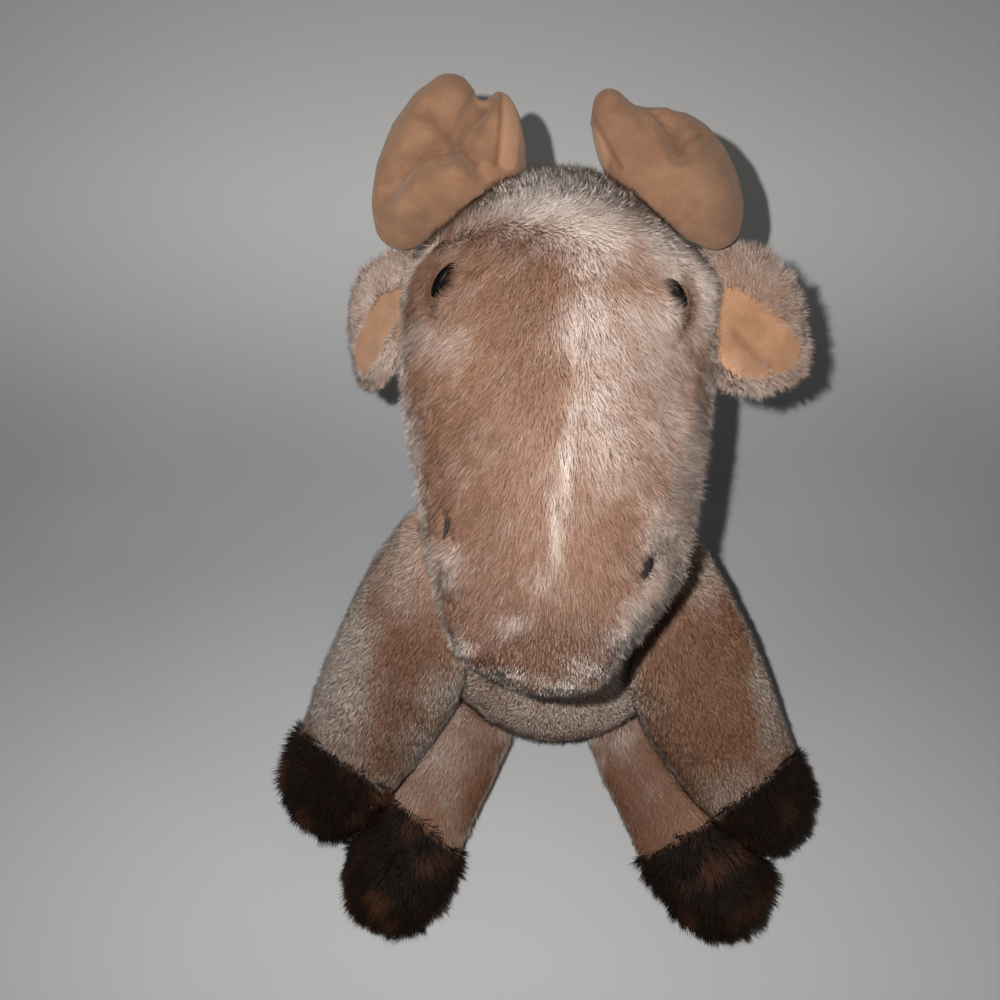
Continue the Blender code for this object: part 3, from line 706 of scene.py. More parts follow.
def makeStrand(name, rings):
    # one closed three-sided fibre tuft, root at the origin, 1 high; rings are (height, radius)
    shape = bmesh.new()
    loops = []
    for height, radius in rings:
        loops.append([shape.verts.new((radius * math.cos(a), radius * math.sin(a), height))
                      for a in (0, math.tau / 3, 2 * math.tau / 3)])
    tip = shape.verts.new((0, 0, 1))
    shape.faces.new(loops[0][::-1])
    for low, high in zip(loops, loops[1:]):
        for i in range(3):
            shape.faces.new((low[i], low[(i + 1) % 3], high[(i + 1) % 3], high[i]))
    for i in range(3):
        shape.faces.new((loops[-1][i], loops[-1][(i + 1) % 3], tip))
    bmesh.ops.triangulate(shape, faces=shape.faces)
    mesh = meshOf(shape, name)
    storeFloat(mesh, "along", [v.co.z for v in mesh.vertices])
    return newPiece(name, mesh)


strands = {"short": makeStrand("shortStrand", [(0, 0.5)]),
           "long": makeStrand("longStrand", [(0, 0.5), (0.55, 0.36)])}
strandFacts = {"floorGapMm": 0.3, "leastRise": 0.22, "length": (0.72, 1.12), "width": (0.7, 1.2),
               "tuftShift": 0.31, "swayShift": 0.77, "swayScale": 1.7, "swayScatter": 0.2}


def pileTree():
    # strands of random length and turn, combed, clumped, swayed and kept off the floor
    facts = strandFacts
    tree, given, out = geometryTree("plushPile", {
        "Skin": "Geometry", "PerSquareMetre": "Float", "Length": "Float", "Width": "Float", "Lean": "Float",
        "Scatter": "Float", "Clump": "Float", "ClumpSize": "Float", "Curl": "Float", "FloorGap": "Float",
        "Seed": "Int", "Strand": "Object", "Finish": "Material"}, "Pile")

    def node(kind, inputs=None, **settings):
        return shaderNode(tree, kind, inputs, **settings)

    def maths(operation, first, second):
        return mathOf(tree, operation, first, second)

    def named(label, kind="FLOAT"):
        return node("GeometryNodeInputNamedAttribute", {"Name": label}, data_type=kind).outputs["Attribute"]

    def namedVector(label):
        return named(label, "FLOAT_VECTOR")

    def vector(operation, first, second):
        return node("ShaderNodeVectorMath", {0: first, 1: second}, operation=operation).outputs[0]

    def scaled(first, scale):
        return node("ShaderNodeVectorMath", {0: first, "Scale": scale}, operation="SCALE").outputs[0]

    def random(low, high, seedShift):
        kind = "FLOAT_VECTOR" if isinstance(low, tuple) else "FLOAT"
        made = node("FunctionNodeRandomValue", data_type=kind)
        slots = [s for s in made.inputs if s.enabled]
        slots[0].default_value, slots[1].default_value = low, high
        links.new(maths("ADD", given["Seed"], seedShift), made.inputs["Seed"])
        return next(s for s in made.outputs if s.enabled)

    def keep(geometry, label, value, kind="FLOAT"):
        return node("GeometryNodeStoreNamedAttribute", {"Geometry": geometry, "Name": label, "Value": value},
                    data_type=kind, domain="POINT").outputs["Geometry"]

    def swirl(scale, shift):
        made = node("ShaderNodeTexNoise", {"Vector": vector("ADD", place, (shift, shift * 0.7, -shift)),
                                           "Scale": scale, "Detail": 1.0})
        return vector("SUBTRACT", made.outputs["Color"], (0.5, 0.5, 0.5))

    links, place = tree.links, node("GeometryNodeInputPosition").outputs[0]
    scattered = node("GeometryNodeDistributePointsOnFaces", {
        "Mesh": given["Skin"], "Density": maths("MULTIPLY", given["PerSquareMetre"], named("cover")),
        "Seed": given["Seed"]})
    roots = keep(scattered.outputs["Points"], "rootNormal", scattered.outputs["Normal"], "FLOAT_VECTOR")
    roots = keep(roots, "tone", random(0.0, 1.0, 11))
    clumpScale = maths("DIVIDE", 1.0, given["ClumpSize"])
    normal = namedVector("rootNormal")
    upright = scaled(normal, maths("SUBTRACT", 1.0, given["Lean"]))
    lying = scaled(namedVector("comb"), given["Lean"])
    loose = scaled(random((-1, -1, -1), (1, 1, 1), 23), given["Scatter"])
    tufted = scaled(swirl(clumpScale, facts["tuftShift"]), maths("MULTIPLY", given["Clump"], 2.0))
    heading = vector("ADD", vector("ADD", upright, lying), vector("ADD", loose, tufted))
    # a strand never points into the skin it grows from
    inward = node("ShaderNodeVectorMath", {0: heading, 1: normal}, operation="DOT_PRODUCT").outputs["Value"]
    raised = maths("MAXIMUM", maths("SUBTRACT", facts["leastRise"], inward), 0.0)
    heading = node("ShaderNodeVectorMath", {0: vector("ADD", heading, scaled(normal, raised))},
                   operation="NORMALIZE").outputs[0]
    spin = node("FunctionNodeEulerToRotation", {"Euler": random((0, 0, 0), (0, 0, 6.28), 37)})
    turn = node("FunctionNodeAlignRotationToVector", {"Rotation": spin.outputs[0], "Vector": heading},
                axis="Z")
    high = maths("MULTIPLY", maths("MULTIPLY", given["Length"], named("pile")), random(*facts["length"], 41))
    wide = maths("MULTIPLY", given["Width"], random(*facts["width"], 43))
    size = node("ShaderNodeCombineXYZ", {"X": wide, "Y": wide, "Z": high}).outputs[0]
    unruly = scaled(random((-1, -1, -1), (1, 1, 1), 53), facts["swayScatter"])
    bent = swirl(maths("MULTIPLY", clumpScale, facts["swayScale"]), facts["swayShift"])
    roots = keep(roots, "sway", scaled(vector("ADD", bent, unruly), given["Curl"]), "FLOAT_VECTOR")
    strand = node("GeometryNodeObjectInfo", {"Object": given["Strand"]}).outputs["Geometry"]
    planted = node("GeometryNodeInstanceOnPoints", {"Points": roots, "Instance": strand,
                                                    "Rotation": turn.outputs[0], "Scale": size}).outputs[0]
    grown = node("GeometryNodeRealizeInstances", {"Geometry": planted}).outputs[0]
    bend = maths("MULTIPLY", named("along"), named("along"))
    swayed = node("GeometryNodeSetPosition", {"Geometry": grown, "Offset": scaled(namedVector("sway"), bend)})
    parts = node("ShaderNodeSeparateXYZ", {0: place}).outputs
    lifted = node("ShaderNodeCombineXYZ", {"X": parts[0], "Y": parts[1],
                                           "Z": maths("MAXIMUM", parts[2], given["FloorGap"])})
    laid = node("GeometryNodeSetPosition", {"Geometry": swayed.outputs[0], "Position": lifted.outputs[0]})
    dressed = node("GeometryNodeSetMaterial", {"Geometry": laid.outputs[0], "Material": given["Finish"]})
    links.new(dressed.outputs[0], out)
    return tree


plushPile = pileTree()
lumpWaves = ((1.0, 0.6, -0.3, 0.2), (-0.7, 1.1, 0.5, 1.7), (0.4, -0.9, 1.2, 2.9), (1.7, 0.8, 0.9, 4.1),
             (-1.3, 1.9, -1.1, 5.3))
lumpHeight = 3.2


def lumps(points, sizeMm, shift=0.0):
    # smooth repeatable noise from -1 to 1, made of a few sine waves
    at = points / (sizeMm * mm) + shift
    out = np.zeros(len(points))
    for k, (a, b, c, d) in enumerate(lumpWaves):
        out += np.sin(at[:, 0] * a + at[:, 1] * b + at[:, 2] * c + d + np.sin(at[:, k % 3] * 0.8 + k))
    return out / lumpHeight


def spotted(points, normals, spots, base):
    # soft uneven spots drawn in the picture; what the camera doesn't see has the base value
    facts = spotFacts
    picture = pictureSpots(points)
    toCamera = cameraPlace - points
    toCamera /= np.linalg.norm(toCamera, axis=1, keepdims=True)
    facing = smoothStep((normals * toCamera).sum(1), *facts["facing"])
    warp = np.stack([lumps(points, facts["warpMm"], shift) for shift in (1.0, 7.0)], axis=1)
    seenX, seenY = (picture + warp * facts["warpPx"]).T
    total = np.zeros(len(points))
    for x, y, halfWide, halfHigh, amount in spots:
        away = ((seenX - x) / halfWide) ** 2 + ((seenY - y) / halfHigh) ** 2
        total = np.maximum(total, amount * np.exp(-away ** facts["squareness"] * facts["steepness"]))
    return total * facing + base * (1 - facing)


def combed(normals, heading):
    flat = heading - normals * (heading * normals).sum(1, keepdims=True)
    return flat / np.maximum(np.linalg.norm(flat, axis=1, keepdims=True), 1e-6)


otherSkins = {name: skinTree(skin.data) for name, skin in skins.items()}
spaceFacts = {"inside": 0.0005, "ahead": 2, "aheadShare": 0.6, "near": 1.5, "nearShare": 1.1, "plenty": 9.0}


def roomFor(name, points, normals, length, joined):
    # how much of its length the pile has at each point before it meets a neighbour
    facts = spaceFacts
    room = np.full(len(points), facts["plenty"])
    box = points.min(0) - 2 * length, points.max(0) + 2 * length
    for other, tree in otherSkins.items():
        if other in (name, joined):
            continue
        spots = readPoints(skins[other].data)
        if (spots.min(0) > box[1]).any() or (spots.max(0) < box[0]).any():
            continue
        low, high = spots.min(0) - facts["near"] * length, spots.max(0) + facts["near"] * length
        for i in np.nonzero(((points > low) & (points < high)).all(1))[0]:
            place, normal = Vector(points[i]), Vector(normals[i])
            ahead = tree.ray_cast(place - normal * facts["inside"], normal, facts["ahead"] * length)
            near = tree.find_nearest(place, facts["near"] * length)
            if ahead[0] is not None:
                room[i] = min(room[i], max(0.0, ahead[3] - facts["inside"]) * facts["aheadShare"])
            if near[0] is not None:
                room[i] = min(room[i], near[3] * facts["nearShare"])
    return room


# Finishes
plushFacts = {
    # colours of the root, the body, the brown patches and the frosted tip, the brown also painted shade and
    # the
    #     # frost also painted sheen; lift is how much light comes from above, and soft how far the pile is
    #     shaded as one surface
    "head": {"colours": ("#86614b", "#986b50", "#704a33", "#ecddd2"), "lift": 0.7, "soft": 0.58,
             "gloss": 0.3, "sheen": 0.3},
    "leg": {"colours": ("#8c6246", "#aa7856", "#855233", "#efdfd2"), "lift": 0.95, "soft": 0.7,
            "gloss": 0.3, "sheen": 0.3},
    "hoof": {"colours": ("#080504", "#1e120b", "#120b06", "#5a3a27"), "lift": 0.5, "soft": 0.58,
             "gloss": 0.08, "sheen": 0.04},
}
# the dull grey-brown of the painted shade
plushShadeColour = "#6a5d55"


def plushFinish(name, key):
    # knitted polyester plush, the pile dyed in the piece and frosted at its tips, with painted sheen in the
    # frost and painted shade in the brown and grey mixes
    facts = plushFacts[key]
    root, main, brown, tip = facts["colours"]
    material, tree = newMaterial(name)
    along, frost, dark = (attributeOf(tree, label) for label in ("along", "frost", "dark"))
    tone, grey = attributeOf(tree, "tone"), attributeOf(tree, "grey")
    # browner pile; the brown also holds painted shade at the nose and beside the eyes
    colour = colourMix(tree, dark, main, brown)
    colour = colourMix(tree, ranged(tree, along, 0.0, 0.55), root, colour)
    speckled = mathOf(tree, "ADD", frost, ranged(tree, tone, 0.0, 1.0, -0.14, 0.14, "LINEAR"))
    tipShare = mathOf(tree, "MULTIPLY", ranged(tree, speckled, 0.0, 1.0, 0.0, 1.0, "LINEAR"),
                      ranged(tree, along, 0.0, 0.6, 0.5, 1.0))
    # painted shade: the colour is pulled towards a dull grey-brown
    colour = colourMix(tree, grey, colourMix(tree, tipShare, colour, tip), plushShadeColour)
    colour = shifted(tree, colour, ranged(tree, tone, 0.0, 1.0, 0.9, 1.1, "LINEAR"))
    rootNormal = attributeOf(tree, "rootNormal", "Vector")
    skin = shaderNode(tree, "ShaderNodeVectorTransform", {"Vector": rootNormal}, vector_type="NORMAL",
                      convert_from="OBJECT", convert_to="WORLD").outputs[0]
    own = shaderNode(tree, "ShaderNodeNewGeometry").outputs["Normal"]
    mixed = shaderNode(tree, "ShaderNodeMix", {0: facts["soft"], 4: own, 5: skin},
                       data_type="VECTOR").outputs[1]
    # light spreads down through the pile, so its sides look lit from above
    raised = shaderNode(tree, "ShaderNodeVectorMath", {0: mixed, 1: (0.0, 0.0, facts["lift"])}).outputs[0]
    bent = shaderNode(tree, "ShaderNodeVectorMath", {0: raised}, operation="NORMALIZE").outputs[0]
    principled(tree, {"Base Color": colour, "Roughness": ranged(tree, tone, 0.0, 1.0, 0.42, 0.62, "LINEAR"),
                      "Specular IOR Level": facts["gloss"], "Sheen Weight": facts["sheen"],
                      "Sheen Roughness": 0.45, "Sheen Tint": (1.0, 0.93, 0.88, 1), "Normal": bent})
    return material


def backingFinish(name, key):
    # the knitted ground that the pile stands in: less light falls on it, and it is duller than the tips
    root, brown = plushFacts[key]["colours"][0], plushFacts[key]["colours"][2]
    material, tree = newMaterial(name)
    coords = objectCoords(tree)
    knit = shaderNode(tree, "ShaderNodeTexVoronoi", {"Vector": coords,
                                                     "Scale": 1 / 0.0008}).outputs["Distance"]
    blotch = noiseOf(tree, coords, 0.004, 3.0)
    colour = colourMix(tree, ranged(tree, blotch, 0.3, 0.7), root, brown)
    colour = colourMix(tree, ranged(tree, knit, 0.0, 0.7, 0.2, 0.7), colour, brown)
    principled(tree, {"Base Color": shifted(tree, colour, 0.92, 0.8), "Specular IOR Level": 0.15,
                      "Roughness": ranged(tree, blotch, 0.3, 0.7, 0.8, 0.95),
                      "Normal": bumpOf(tree, 0.5, 0.0003, knit)})
    return material


# felt colours: fibres, painted shade in the creases, the pale seam strip, and painted shade on a palm
feltColours = {"fibre": "#b08a70", "crease": "#633f2b", "pale": "#ab8366", "grey": "#4b423a"}


def feltFinish(name, light, dark):
    # brushed polyester felt, soft and matt, with loose fibres, and painted shade in its creases and seams and
    # on one palm
    material, tree = newMaterial(name)
    coords = objectCoords(tree)
    broad = noiseOf(tree, coords, 0.007, 3.0, 0.6)
    fine = noiseOf(tree, coords, 0.0011, 4.0, 0.65)
    fibre = noiseOf(tree, coords, 0.00028, 3.0, 0.7)
    colour = colourMix(tree, ranged(tree, broad, 0.32, 0.68), light, dark)
    colour = colourMix(tree, ranged(tree, fine, 0.35, 0.75, 0.0, 0.35), colour, dark)
    colour = colourMix(tree, ranged(tree, fibre, 0.45, 0.75, 0.0, 0.25), colour, feltColours["fibre"])
    # painted shade in the creases and seams and on the turned-away palm, and a pale strip along the seam
    for label, share in (("crease", 0.6), ("pale", 0.6), ("grey", 0.34)):
        colour = colourMix(tree, mathOf(tree, "MULTIPLY", attributeOf(tree, label), share), colour,
                           feltColours[label])
    height = mathOf(tree, "ADD", mathOf(tree, "MULTIPLY", fine, 0.6), fibre)
    principled(tree, {"Base Color": colour, "Roughness": ranged(tree, fine, 0.3, 0.7, 0.82, 0.96),
                      "Specular IOR Level": 0.12, "Sheen Weight": 0.22, "Sheen Roughness": 0.5,
                      "Sheen Tint": (0.9, 0.75, 0.62, 1), "Normal": bumpOf(tree, 0.55, 0.00025, height)})
    return material


def eyeFinish():
    # moulded black plastic, polished and lightly scuffed
    material, tree = newMaterial("eyePlasticPolished")
    scuff = noiseOf(tree, objectCoords(tree), 0.0012, 4.0, 0.7)
    principled(tree, {"Base Color": colourMix(tree, ranged(tree, scuff, 0.3, 0.8), "#050404", "#0d0a09"),
                      "Roughness": ranged(tree, scuff, 0.4, 0.8, 0.32, 0.42), "Specular IOR Level": 0.03,
                      "Normal": bumpOf(tree, 0.05, 0.00005, scuff)})
    return material


def threadFinish():
    # twisted black embroidery thread
    material, tree = newMaterial("embroideryThreadSatin")
    strand = noiseOf(tree, objectCoords(tree), 0.0003, 2.0)
    principled(tree, {"Base Color": colourMix(tree, ranged(tree, strand, 0.3, 0.7), "#0c0807", "#241a16"),
                      "Roughness": ranged(tree, strand, 0.3, 0.7, 0.4, 0.6), "Specular IOR Level": 0.4,
                      "Normal": bumpOf(tree, 0.4, 0.0001, strand)})
    return material


def washerFinish():
    # moulded nylon, seen only where the toy is opened
    material, tree = newMaterial("washerNylonMoulded")
    coords = objectCoords(tree)
    flow = shaderNode(tree, "ShaderNodeTexWave", {"Vector": coords, "Scale": 600.0,
                                                  "Distortion": 1.5}).outputs["Fac"]
    fine = noiseOf(tree, coords, 0.0009, 3.0)
    principled(tree, {"Base Color": colourMix(tree, ranged(tree, fine, 0.3, 0.7), "#e4e2dc", "#d5d3cd"),
                      "Roughness": ranged(tree, fine, 0.3, 0.7, 0.6, 0.8),
                      "Normal": bumpOf(tree, 0.3, 0.0002, flow)})
    return material


finishes = {
    "head": plushFinish("headPlushFrosted", "head"), "leg": plushFinish("legPlushShorn", "leg"),
    "hoof": plushFinish("hoofPlushShaggy", "hoof"),
    "headBacking": backingFinish("headPlushKnittedGround", "head"),
    "legBacking": backingFinish("legPlushKnittedGround", "leg"),
    "hoofBacking": backingFinish("hoofPlushKnittedGround", "hoof"),
    "antler": feltFinish("antlerFeltBrushed", "#8c6950", "#7b5943"),
    "lining": feltFinish("earFeltBrushed", "#b98b6a", "#a5795a"),
    "eye": eyeFinish(), "thread": threadFinish(), "washer": washerFinish(),
}


# Growing the pile, one mesh for each patch
def grow(name, skinName, body, key, finish, nap, seed, patch=1.0):
    facts, mesh = pileFacts[key], skins[skinName].data
    storeFloat(mesh, "cover", nap["cover"] * patch)
    for label in ("frost", "dark", "pile"):
        storeFloat(mesh, label, nap[label])
    storeVector(mesh, "comb", nap["comb"])
    piece = madeBy(plushPile, name, mesh, {
        "PerSquareMetre": facts["perCm2"] * 1e4, "Length": facts["length"] * mm, "Width": facts["width"] * mm,
        "Lean": facts["lean"], "Scatter": facts["scatter"], "Clump": facts["clump"],
        "ClumpSize": facts["clumpMm"] * mm, "Curl": facts.get("curl", 0.0) * mm,
        "FloorGap": strandFacts["floorGapMm"] * mm, "Seed": seed,
        "Strand": strands[facts.get("strand", "short")], "Finish": finishes[finish]})
    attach(piece, body)
    print(f"  {name}: {len(piece.data.polygons)} faces")


napFacts = {
    # unevenness as (amount, width in mm, shift), and lengths in metres
    "frost": ((0.09, 3.2, 0.0), (0.08, 1.3, 5.0)), "dark": ((0.10, 2.6, 9.0),), "darkBase": 0.12,
    "length": (0.12, 5.0, 3.0), "coverSpan": (0.0004, 0.0011), "lineFalloff": 0.7, "bareCore": 0.8,
    "underCover": 0.45, "underSpan": (-0.6, 0.1), "flatSpan": (0.75, 0.95), "flatTop": 0.0016,
}


def gather(skinName, spots, frost, heading, key, joined=None, shortLines=(), bareLines=()):
    # how frosted (with painted sheen), brown (with painted shade), long and close the pile is at each point
    # of a skin, and which way it is combed
    facts, mesh = napFacts, skins[skinName].data
    points, normals = readPoints(mesh), readNormals(mesh)
    nap = {"points": points, "normals": normals}
    for label, base in (("frost", frost), ("dark", facts["darkBase"])):
        values = spotted(points, normals, spots[label], base) if spots else np.full(len(points), base)
        for amount, widthMm, shift in facts[label]:
            values = values + amount * lumps(points, widthMm, shift)
        nap[label] = np.clip(values, 0.0, 1.0)
    length = pileFacts[key]["length"] * mm
    room = roomFor(skinName, points, normals, length, joined)
    amount, widthMm, shift = facts["length"]
    pile = np.clip(room / length, 0.0, 1.0) * (1 + amount * lumps(points, widthMm, shift))
    cover = smoothStep(room, *facts["coverSpan"])
    for lineSpots, widthMm, share in shortLines:
        line = lineOnSkin(mesh, lineSpots)
        if len(line):
            near = 1 - np.clip(nearest(points, line) / (widthMm * mm), 0, 1)
            pile *= 1 - (1 - share) * near ** facts["lineFalloff"]
    for lineSpots, widthMm in bareLines:
        line = lineOnSkin(mesh, lineSpots)
        if len(line):
            cover *= smoothStep(nearest(points, line), widthMm * mm * facts["bareCore"], widthMm * mm)
    # thinner underneath, and nothing grows on the flat where the toy sits
    least = facts["underCover"]
    cover *= least + (1 - least) * smoothStep(normals[:, 2], *facts["underSpan"])
    cover *= 1 - smoothStep(-normals[:, 2], *facts["flatSpan"]) * (points[:, 2] < facts["flatTop"])
    return {**nap, "pile": pile, "cover": cover, "comb": combed(normals, heading(points))}


eyeMiddles = {"left": Vector((0.0238, 0.0433, 0.1614)), "right": Vector((-0.0230, 0.0459, 0.1621))}
headCombFacts = {"outward": 22, "crownSpan": (0.048, 0.066), "crownOut": 3.6, "down": -0.9, "back": 1.7,
                 "sink": -0.25, "lidSpan": (0.0045, 0.0080), "lidPull": 1.1}
headNapFacts = {
    # lines of short pile at the eyes and nostrils, then bare ones where the eyes and stitches show
    "shortLines": [([(445, 281), (445, 280)], 6.5, 0.9), ([(675, 294), (675, 295)], 6.5, 0.9),
                   ([(446, 512), (455, 538)], 3.4, 0.35), ([(636, 574), (651, 558)], 3.4, 0.35)],
    "bareLines": [([(434, 292), (455, 268)], 1.6), ([(670, 284), (686, 307)], 1.2),
                  ([(445, 508), (456, 540)], 1.2), ([(636, 576), (651, 557)], 1.4)],
    # the frost base, for what faces away from the camera, is painted sheen on the face's rims
    "frost": 0.75, "noseSpan": (-0.032, -0.018), "noseShorter": 0.45,
    "lowCover": 0.36, "lowSpan": (0.120, 0.150), "noseShade": 0.5, "noseShadeSpan": (-0.03, 0.02),
    "seamX": 0.0008, "crownY": 0.026,
    # the outer lid of each eye: where it is, and how much less frost, more brown and shorter pile it has; the
    # darker colour there is painted shade
    "lidSpan": (0.0055, 0.0100), "lidSide": (-0.0005, 0.0015),
    "lidFrost": 0.85, "lidShade": 0.5, "lidShorter": 0.25,
    # tufts stand up: less combed, longer, and uneven in length, frost and brown
    "tufts": 0.6, "uncombed": 0.8, "longer": (0.15, 0.35), "frostLumps": 0.4, "darkLumps": 0.5,
    "lumpMm": (0.6, 0.5), "lumpShift": 4.0,
}


def headHeading(points):
    # crown pile lies back and out, face pile lies down towards the nose and out over the cheeks
    facts, out = headCombFacts, np.zeros_like(points)
    out[:, 0] = facts["outward"] * points[:, 0]
    share = smoothStep(points[:, 1], *facts["crownSpan"])
    out[:, 0] += facts["crownOut"] * share * (1 - share)
    out[:, 1] = facts["down"] + facts["back"] * share
    out[:, 2] = facts["sink"]
    for eye in eyeMiddles.values():
        # round the eyes the pile closes over them like lids
        inward = np.array(eye) - points
        far = np.linalg.norm(inward, axis=1, keepdims=True)
        share = 1 - smoothStep(far, *facts["lidSpan"])
        out = out * (1 - share) + share * facts["lidPull"] * inward / far
    return out


def growHead():
    facts = headNapFacts
    nap = gather("headPlush", headSpots, facts["frost"], headHeading, "head", shortLines=facts["shortLines"],
                 bareLines=facts["bareLines"])
    points, normals = nap["points"], nap["normals"]
    nap["pile"] *= 1 - facts["noseShorter"] * (1 - smoothStep(points[:, 1], *facts["noseSpan"]))
    nap["cover"] *= facts["lowCover"] + (1 - facts["lowCover"]) * smoothStep(points[:, 2], *facts["lowSpan"])
    # painted shade: the pile is browner towards the nose, where the light falls off
    brown = facts["noseShade"] * (1 - smoothStep(points[:, 1], *facts["noseShadeSpan"]))
    nap["dark"] = np.clip(nap["dark"] + brown, 0, 1)
    for eye in eyeMiddles.values():
        near = 1 - smoothStep(np.linalg.norm(points - np.array(eye), axis=1), *facts["lidSpan"])
        near *= smoothStep((points[:, 0] - eye.x) * np.sign(eye.x), *facts["lidSide"])
        nap["frost"] *= 1 - facts["lidFrost"] * near
        nap["dark"] = np.clip(nap["dark"] + facts["lidShade"] * near, 0, 1)
        nap["pile"] *= 1 - facts["lidShorter"] * near
    tufts = spotted(points, normals, headSpots["tufts"], facts["tufts"])
    # painted shade on the right-hand cheek
    storeFloat(skins["headPlush"].data, "grey", spotted(points, normals, headSpots["grey"], 0.0))
    broad, fine = (lumps(points, widthMm, facts["lumpShift"]) for widthMm in facts["lumpMm"])
    longer, uneven = facts["longer"]
    nap["comb"] *= (1 - facts["uncombed"] * tufts)[:, None]
    nap["pile"] *= 1 + tufts * (longer + uneven * broad)
    nap["frost"] = np.clip(nap["frost"] + tufts * facts["frostLumps"] * fine, 0, 1)
    nap["dark"] = np.clip(nap["dark"] - tufts * facts["darkLumps"] * fine, 0, 1)
    toLeft, toFront = points[:, 0] >= facts["seamX"], points[:, 1] < facts["crownY"]
    for ending, patch, seed in (("FaceLeft", toLeft & toFront, 5), ("FaceRight", ~toLeft & toFront, 6),
                                ("CrownLeft", toLeft & ~toFront, 7), ("CrownRight", ~toLeft & ~toFront, 8)):
        grow("headPile" + ending, "headPlush", "head", "head", "head", nap, seed, patch)


# the belly's pile is short, so the ground shows between the strands
# the frost base, for what faces away from the camera, is painted sheen on the body's rims
bodyFacts = {"outward": 6, "back": 0.5, "down": -0.7, "frost": 0.55, "bellySpots": [(555, 705, 90, 44, 1.0)],
             "shorter": 0.4, "backCover": 0.5, "backSpan": (-0.012, 0.004)}


def bodyHeading(points):
    facts, count = bodyFacts, len(points)
    return np.stack((points[:, 0] * facts["outward"], np.full(count, facts["back"]),
                     np.full(count, facts["down"])), axis=1)


def growBody():
    facts = bodyFacts
    nap = gather("bodyPlush", legSpots, facts["frost"], bodyHeading, "body")
    points, least = nap["points"], facts["backCover"]
    nap["cover"] *= least + (1 - least) * (1 - smoothStep(points[:, 1], *facts["backSpan"]))
    nap["pile"] *= 1 - facts["shorter"] * spotted(points, nap["normals"], facts["bellySpots"], 0.0)
    for ending, patch, seed in (("Left", points[:, 0] >= 0, 7), ("Right", points[:, 0] < 0, 8)):
        grow("bodyPile" + ending, "bodyPlush", "torso", "body", "leg", nap, seed, patch)


# the legs' frost base is painted sheen on their rims, which face away from the camera
limbFacts = {"legFrost": 0.9, "hoofFrost": 0.35, "hoofDroop": (0, 0, -0.2), "frostLumps": (4.5, 2.0),
             "frostMost": 0.8}


def growLimb(family, side):
    facts, ending, body = limbFacts, sides[side], f"{family}_limb_{side}"
    leg, hoof = family + "Leg", family + "Hoof"
    along = legHeadings[family, side]
    droop = along + np.array(facts["hoofDroop"])
    nap = gather(leg + ending, legSpots, facts["legFrost"], lambda points: np.tile(along, (len(points), 1)),
                 "leg", joined=hoof + ending)
    grow(leg + "Pile" + ending, leg + ending, body, "leg", "leg", nap, 9)
    nap = gather(hoof + ending, None, facts["hoofFrost"], lambda points: np.tile(droop, (len(points), 1)),
                 "hoof", joined=leg + ending)
    nap["frost"] = smoothStep(lumps(nap["points"], *facts["frostLumps"]), 0.0, 1.0) * facts["frostMost"]
    grow(hoof + "Pile" + ending, hoof + ending, body, "hoof", "hoof", nap, 12)


earFrost = 0.4
earFacts = {
    # the plush is turned over the ear's edge, so the felt shows only inside the outline; the left ear's
    # pile is long and brown, the right ear's short
    "left": {"pile": 1.0, "brown": 0.25, "rimFrost": 0.35, "felt": [
        (722, 288), (738, 289), (770, 314), (798, 340), (811, 362), (801, 380), (760, 383), (722, 380)]},
    "right": {"pile": 0.55, "brown": 0.0, "rimFrost": 0.5, "felt": [
        (402, 288), (380, 296), (357, 340), (354, 364), (368, 373), (376, 360), (400, 316)]},
}


def inside(spots, outline):
    found = np.zeros(len(spots), bool)
    x, y = spots[:, 0], spots[:, 1]
    for (ax, ay), (bx, by) in zip(outline, outline[1:] + outline[:1]):
        if ay != by:
            found ^= ((ay > y) != (by > y)) & (x < (bx - ax) * (y - ay) / (by - ay) + ax)
    return found


def growEar(side):
    facts, ending, body = earFacts[side], sides[side], "ear_" + side
    plush, lining = "earPlush" + ending, "earLining" + ending
    middle = readPoints(skins[lining].data).mean(0)

    def heading(points):
        out = points - middle
        return out / np.linalg.norm(out, axis=1, keepdims=True)

    nap = gather(plush, None, earFrost, heading, "ear", joined=lining)
    nap["pile"] *= facts["pile"]
    nap["dark"] += facts["brown"]
    grow("earPile" + ending, plush, body, "ear", "head", nap, 14)
    nap = gather(lining, None, facts["rimFrost"], heading, "earRim", joined=plush)
    nap["cover"] *= ~inside(pictureSpots(nap["points"]), facts["felt"])
    grow("earRimPile" + ending, lining, body, "earRim", "head", nap, 15)


tailFrost = 0.3
print("pile: growing")
growHead()
growBody()
for side in sides:
    for family in ("front", "hind"):
        growLimb(family, side)
    growEar(side)
grow("tailPile", "tailPlush", "tail_body", "leg", "leg",
     gather("tailPlush", None, tailFrost, bodyHeading, "leg"), 16)
for strand in strands.values():
    bpy.data.objects.remove(strand)


# Eyes: polished domes half sunk in the pile, so that they show as slits
eyeFacts = {"right": {"slit": ((431, 296), (457, 264)), "across": 0.36, "along": 1.12},
            "left": {"slit": ((669, 280), (688, 308)), "across": 0.3, "along": 0.92}}
domeFacts = {"flatten": 0.35, "sinkMm": 0.3, "finer": 2}
faceTree = skinTree(skins["headPlush"].data)


def pictureFrame(spots):
    # middle, outward normal, and directions along and across a line drawn on the face
    middle = tuple((a + b) / 2 for a, b in zip(*spots))
    place, normal = faceTree.ray_cast(camera.location, sightLine(*middle))[:2]
    first, second = (sightLine(*spot) for spot in spots)
    along = second - first
    along = (along - normal * along.dot(normal)).normalized()
    return place, normal, along, normal.cross(along)


def paint(piece, finish):
    piece.data.materials.clear()
    piece.data.materials.append(finishes[finish])


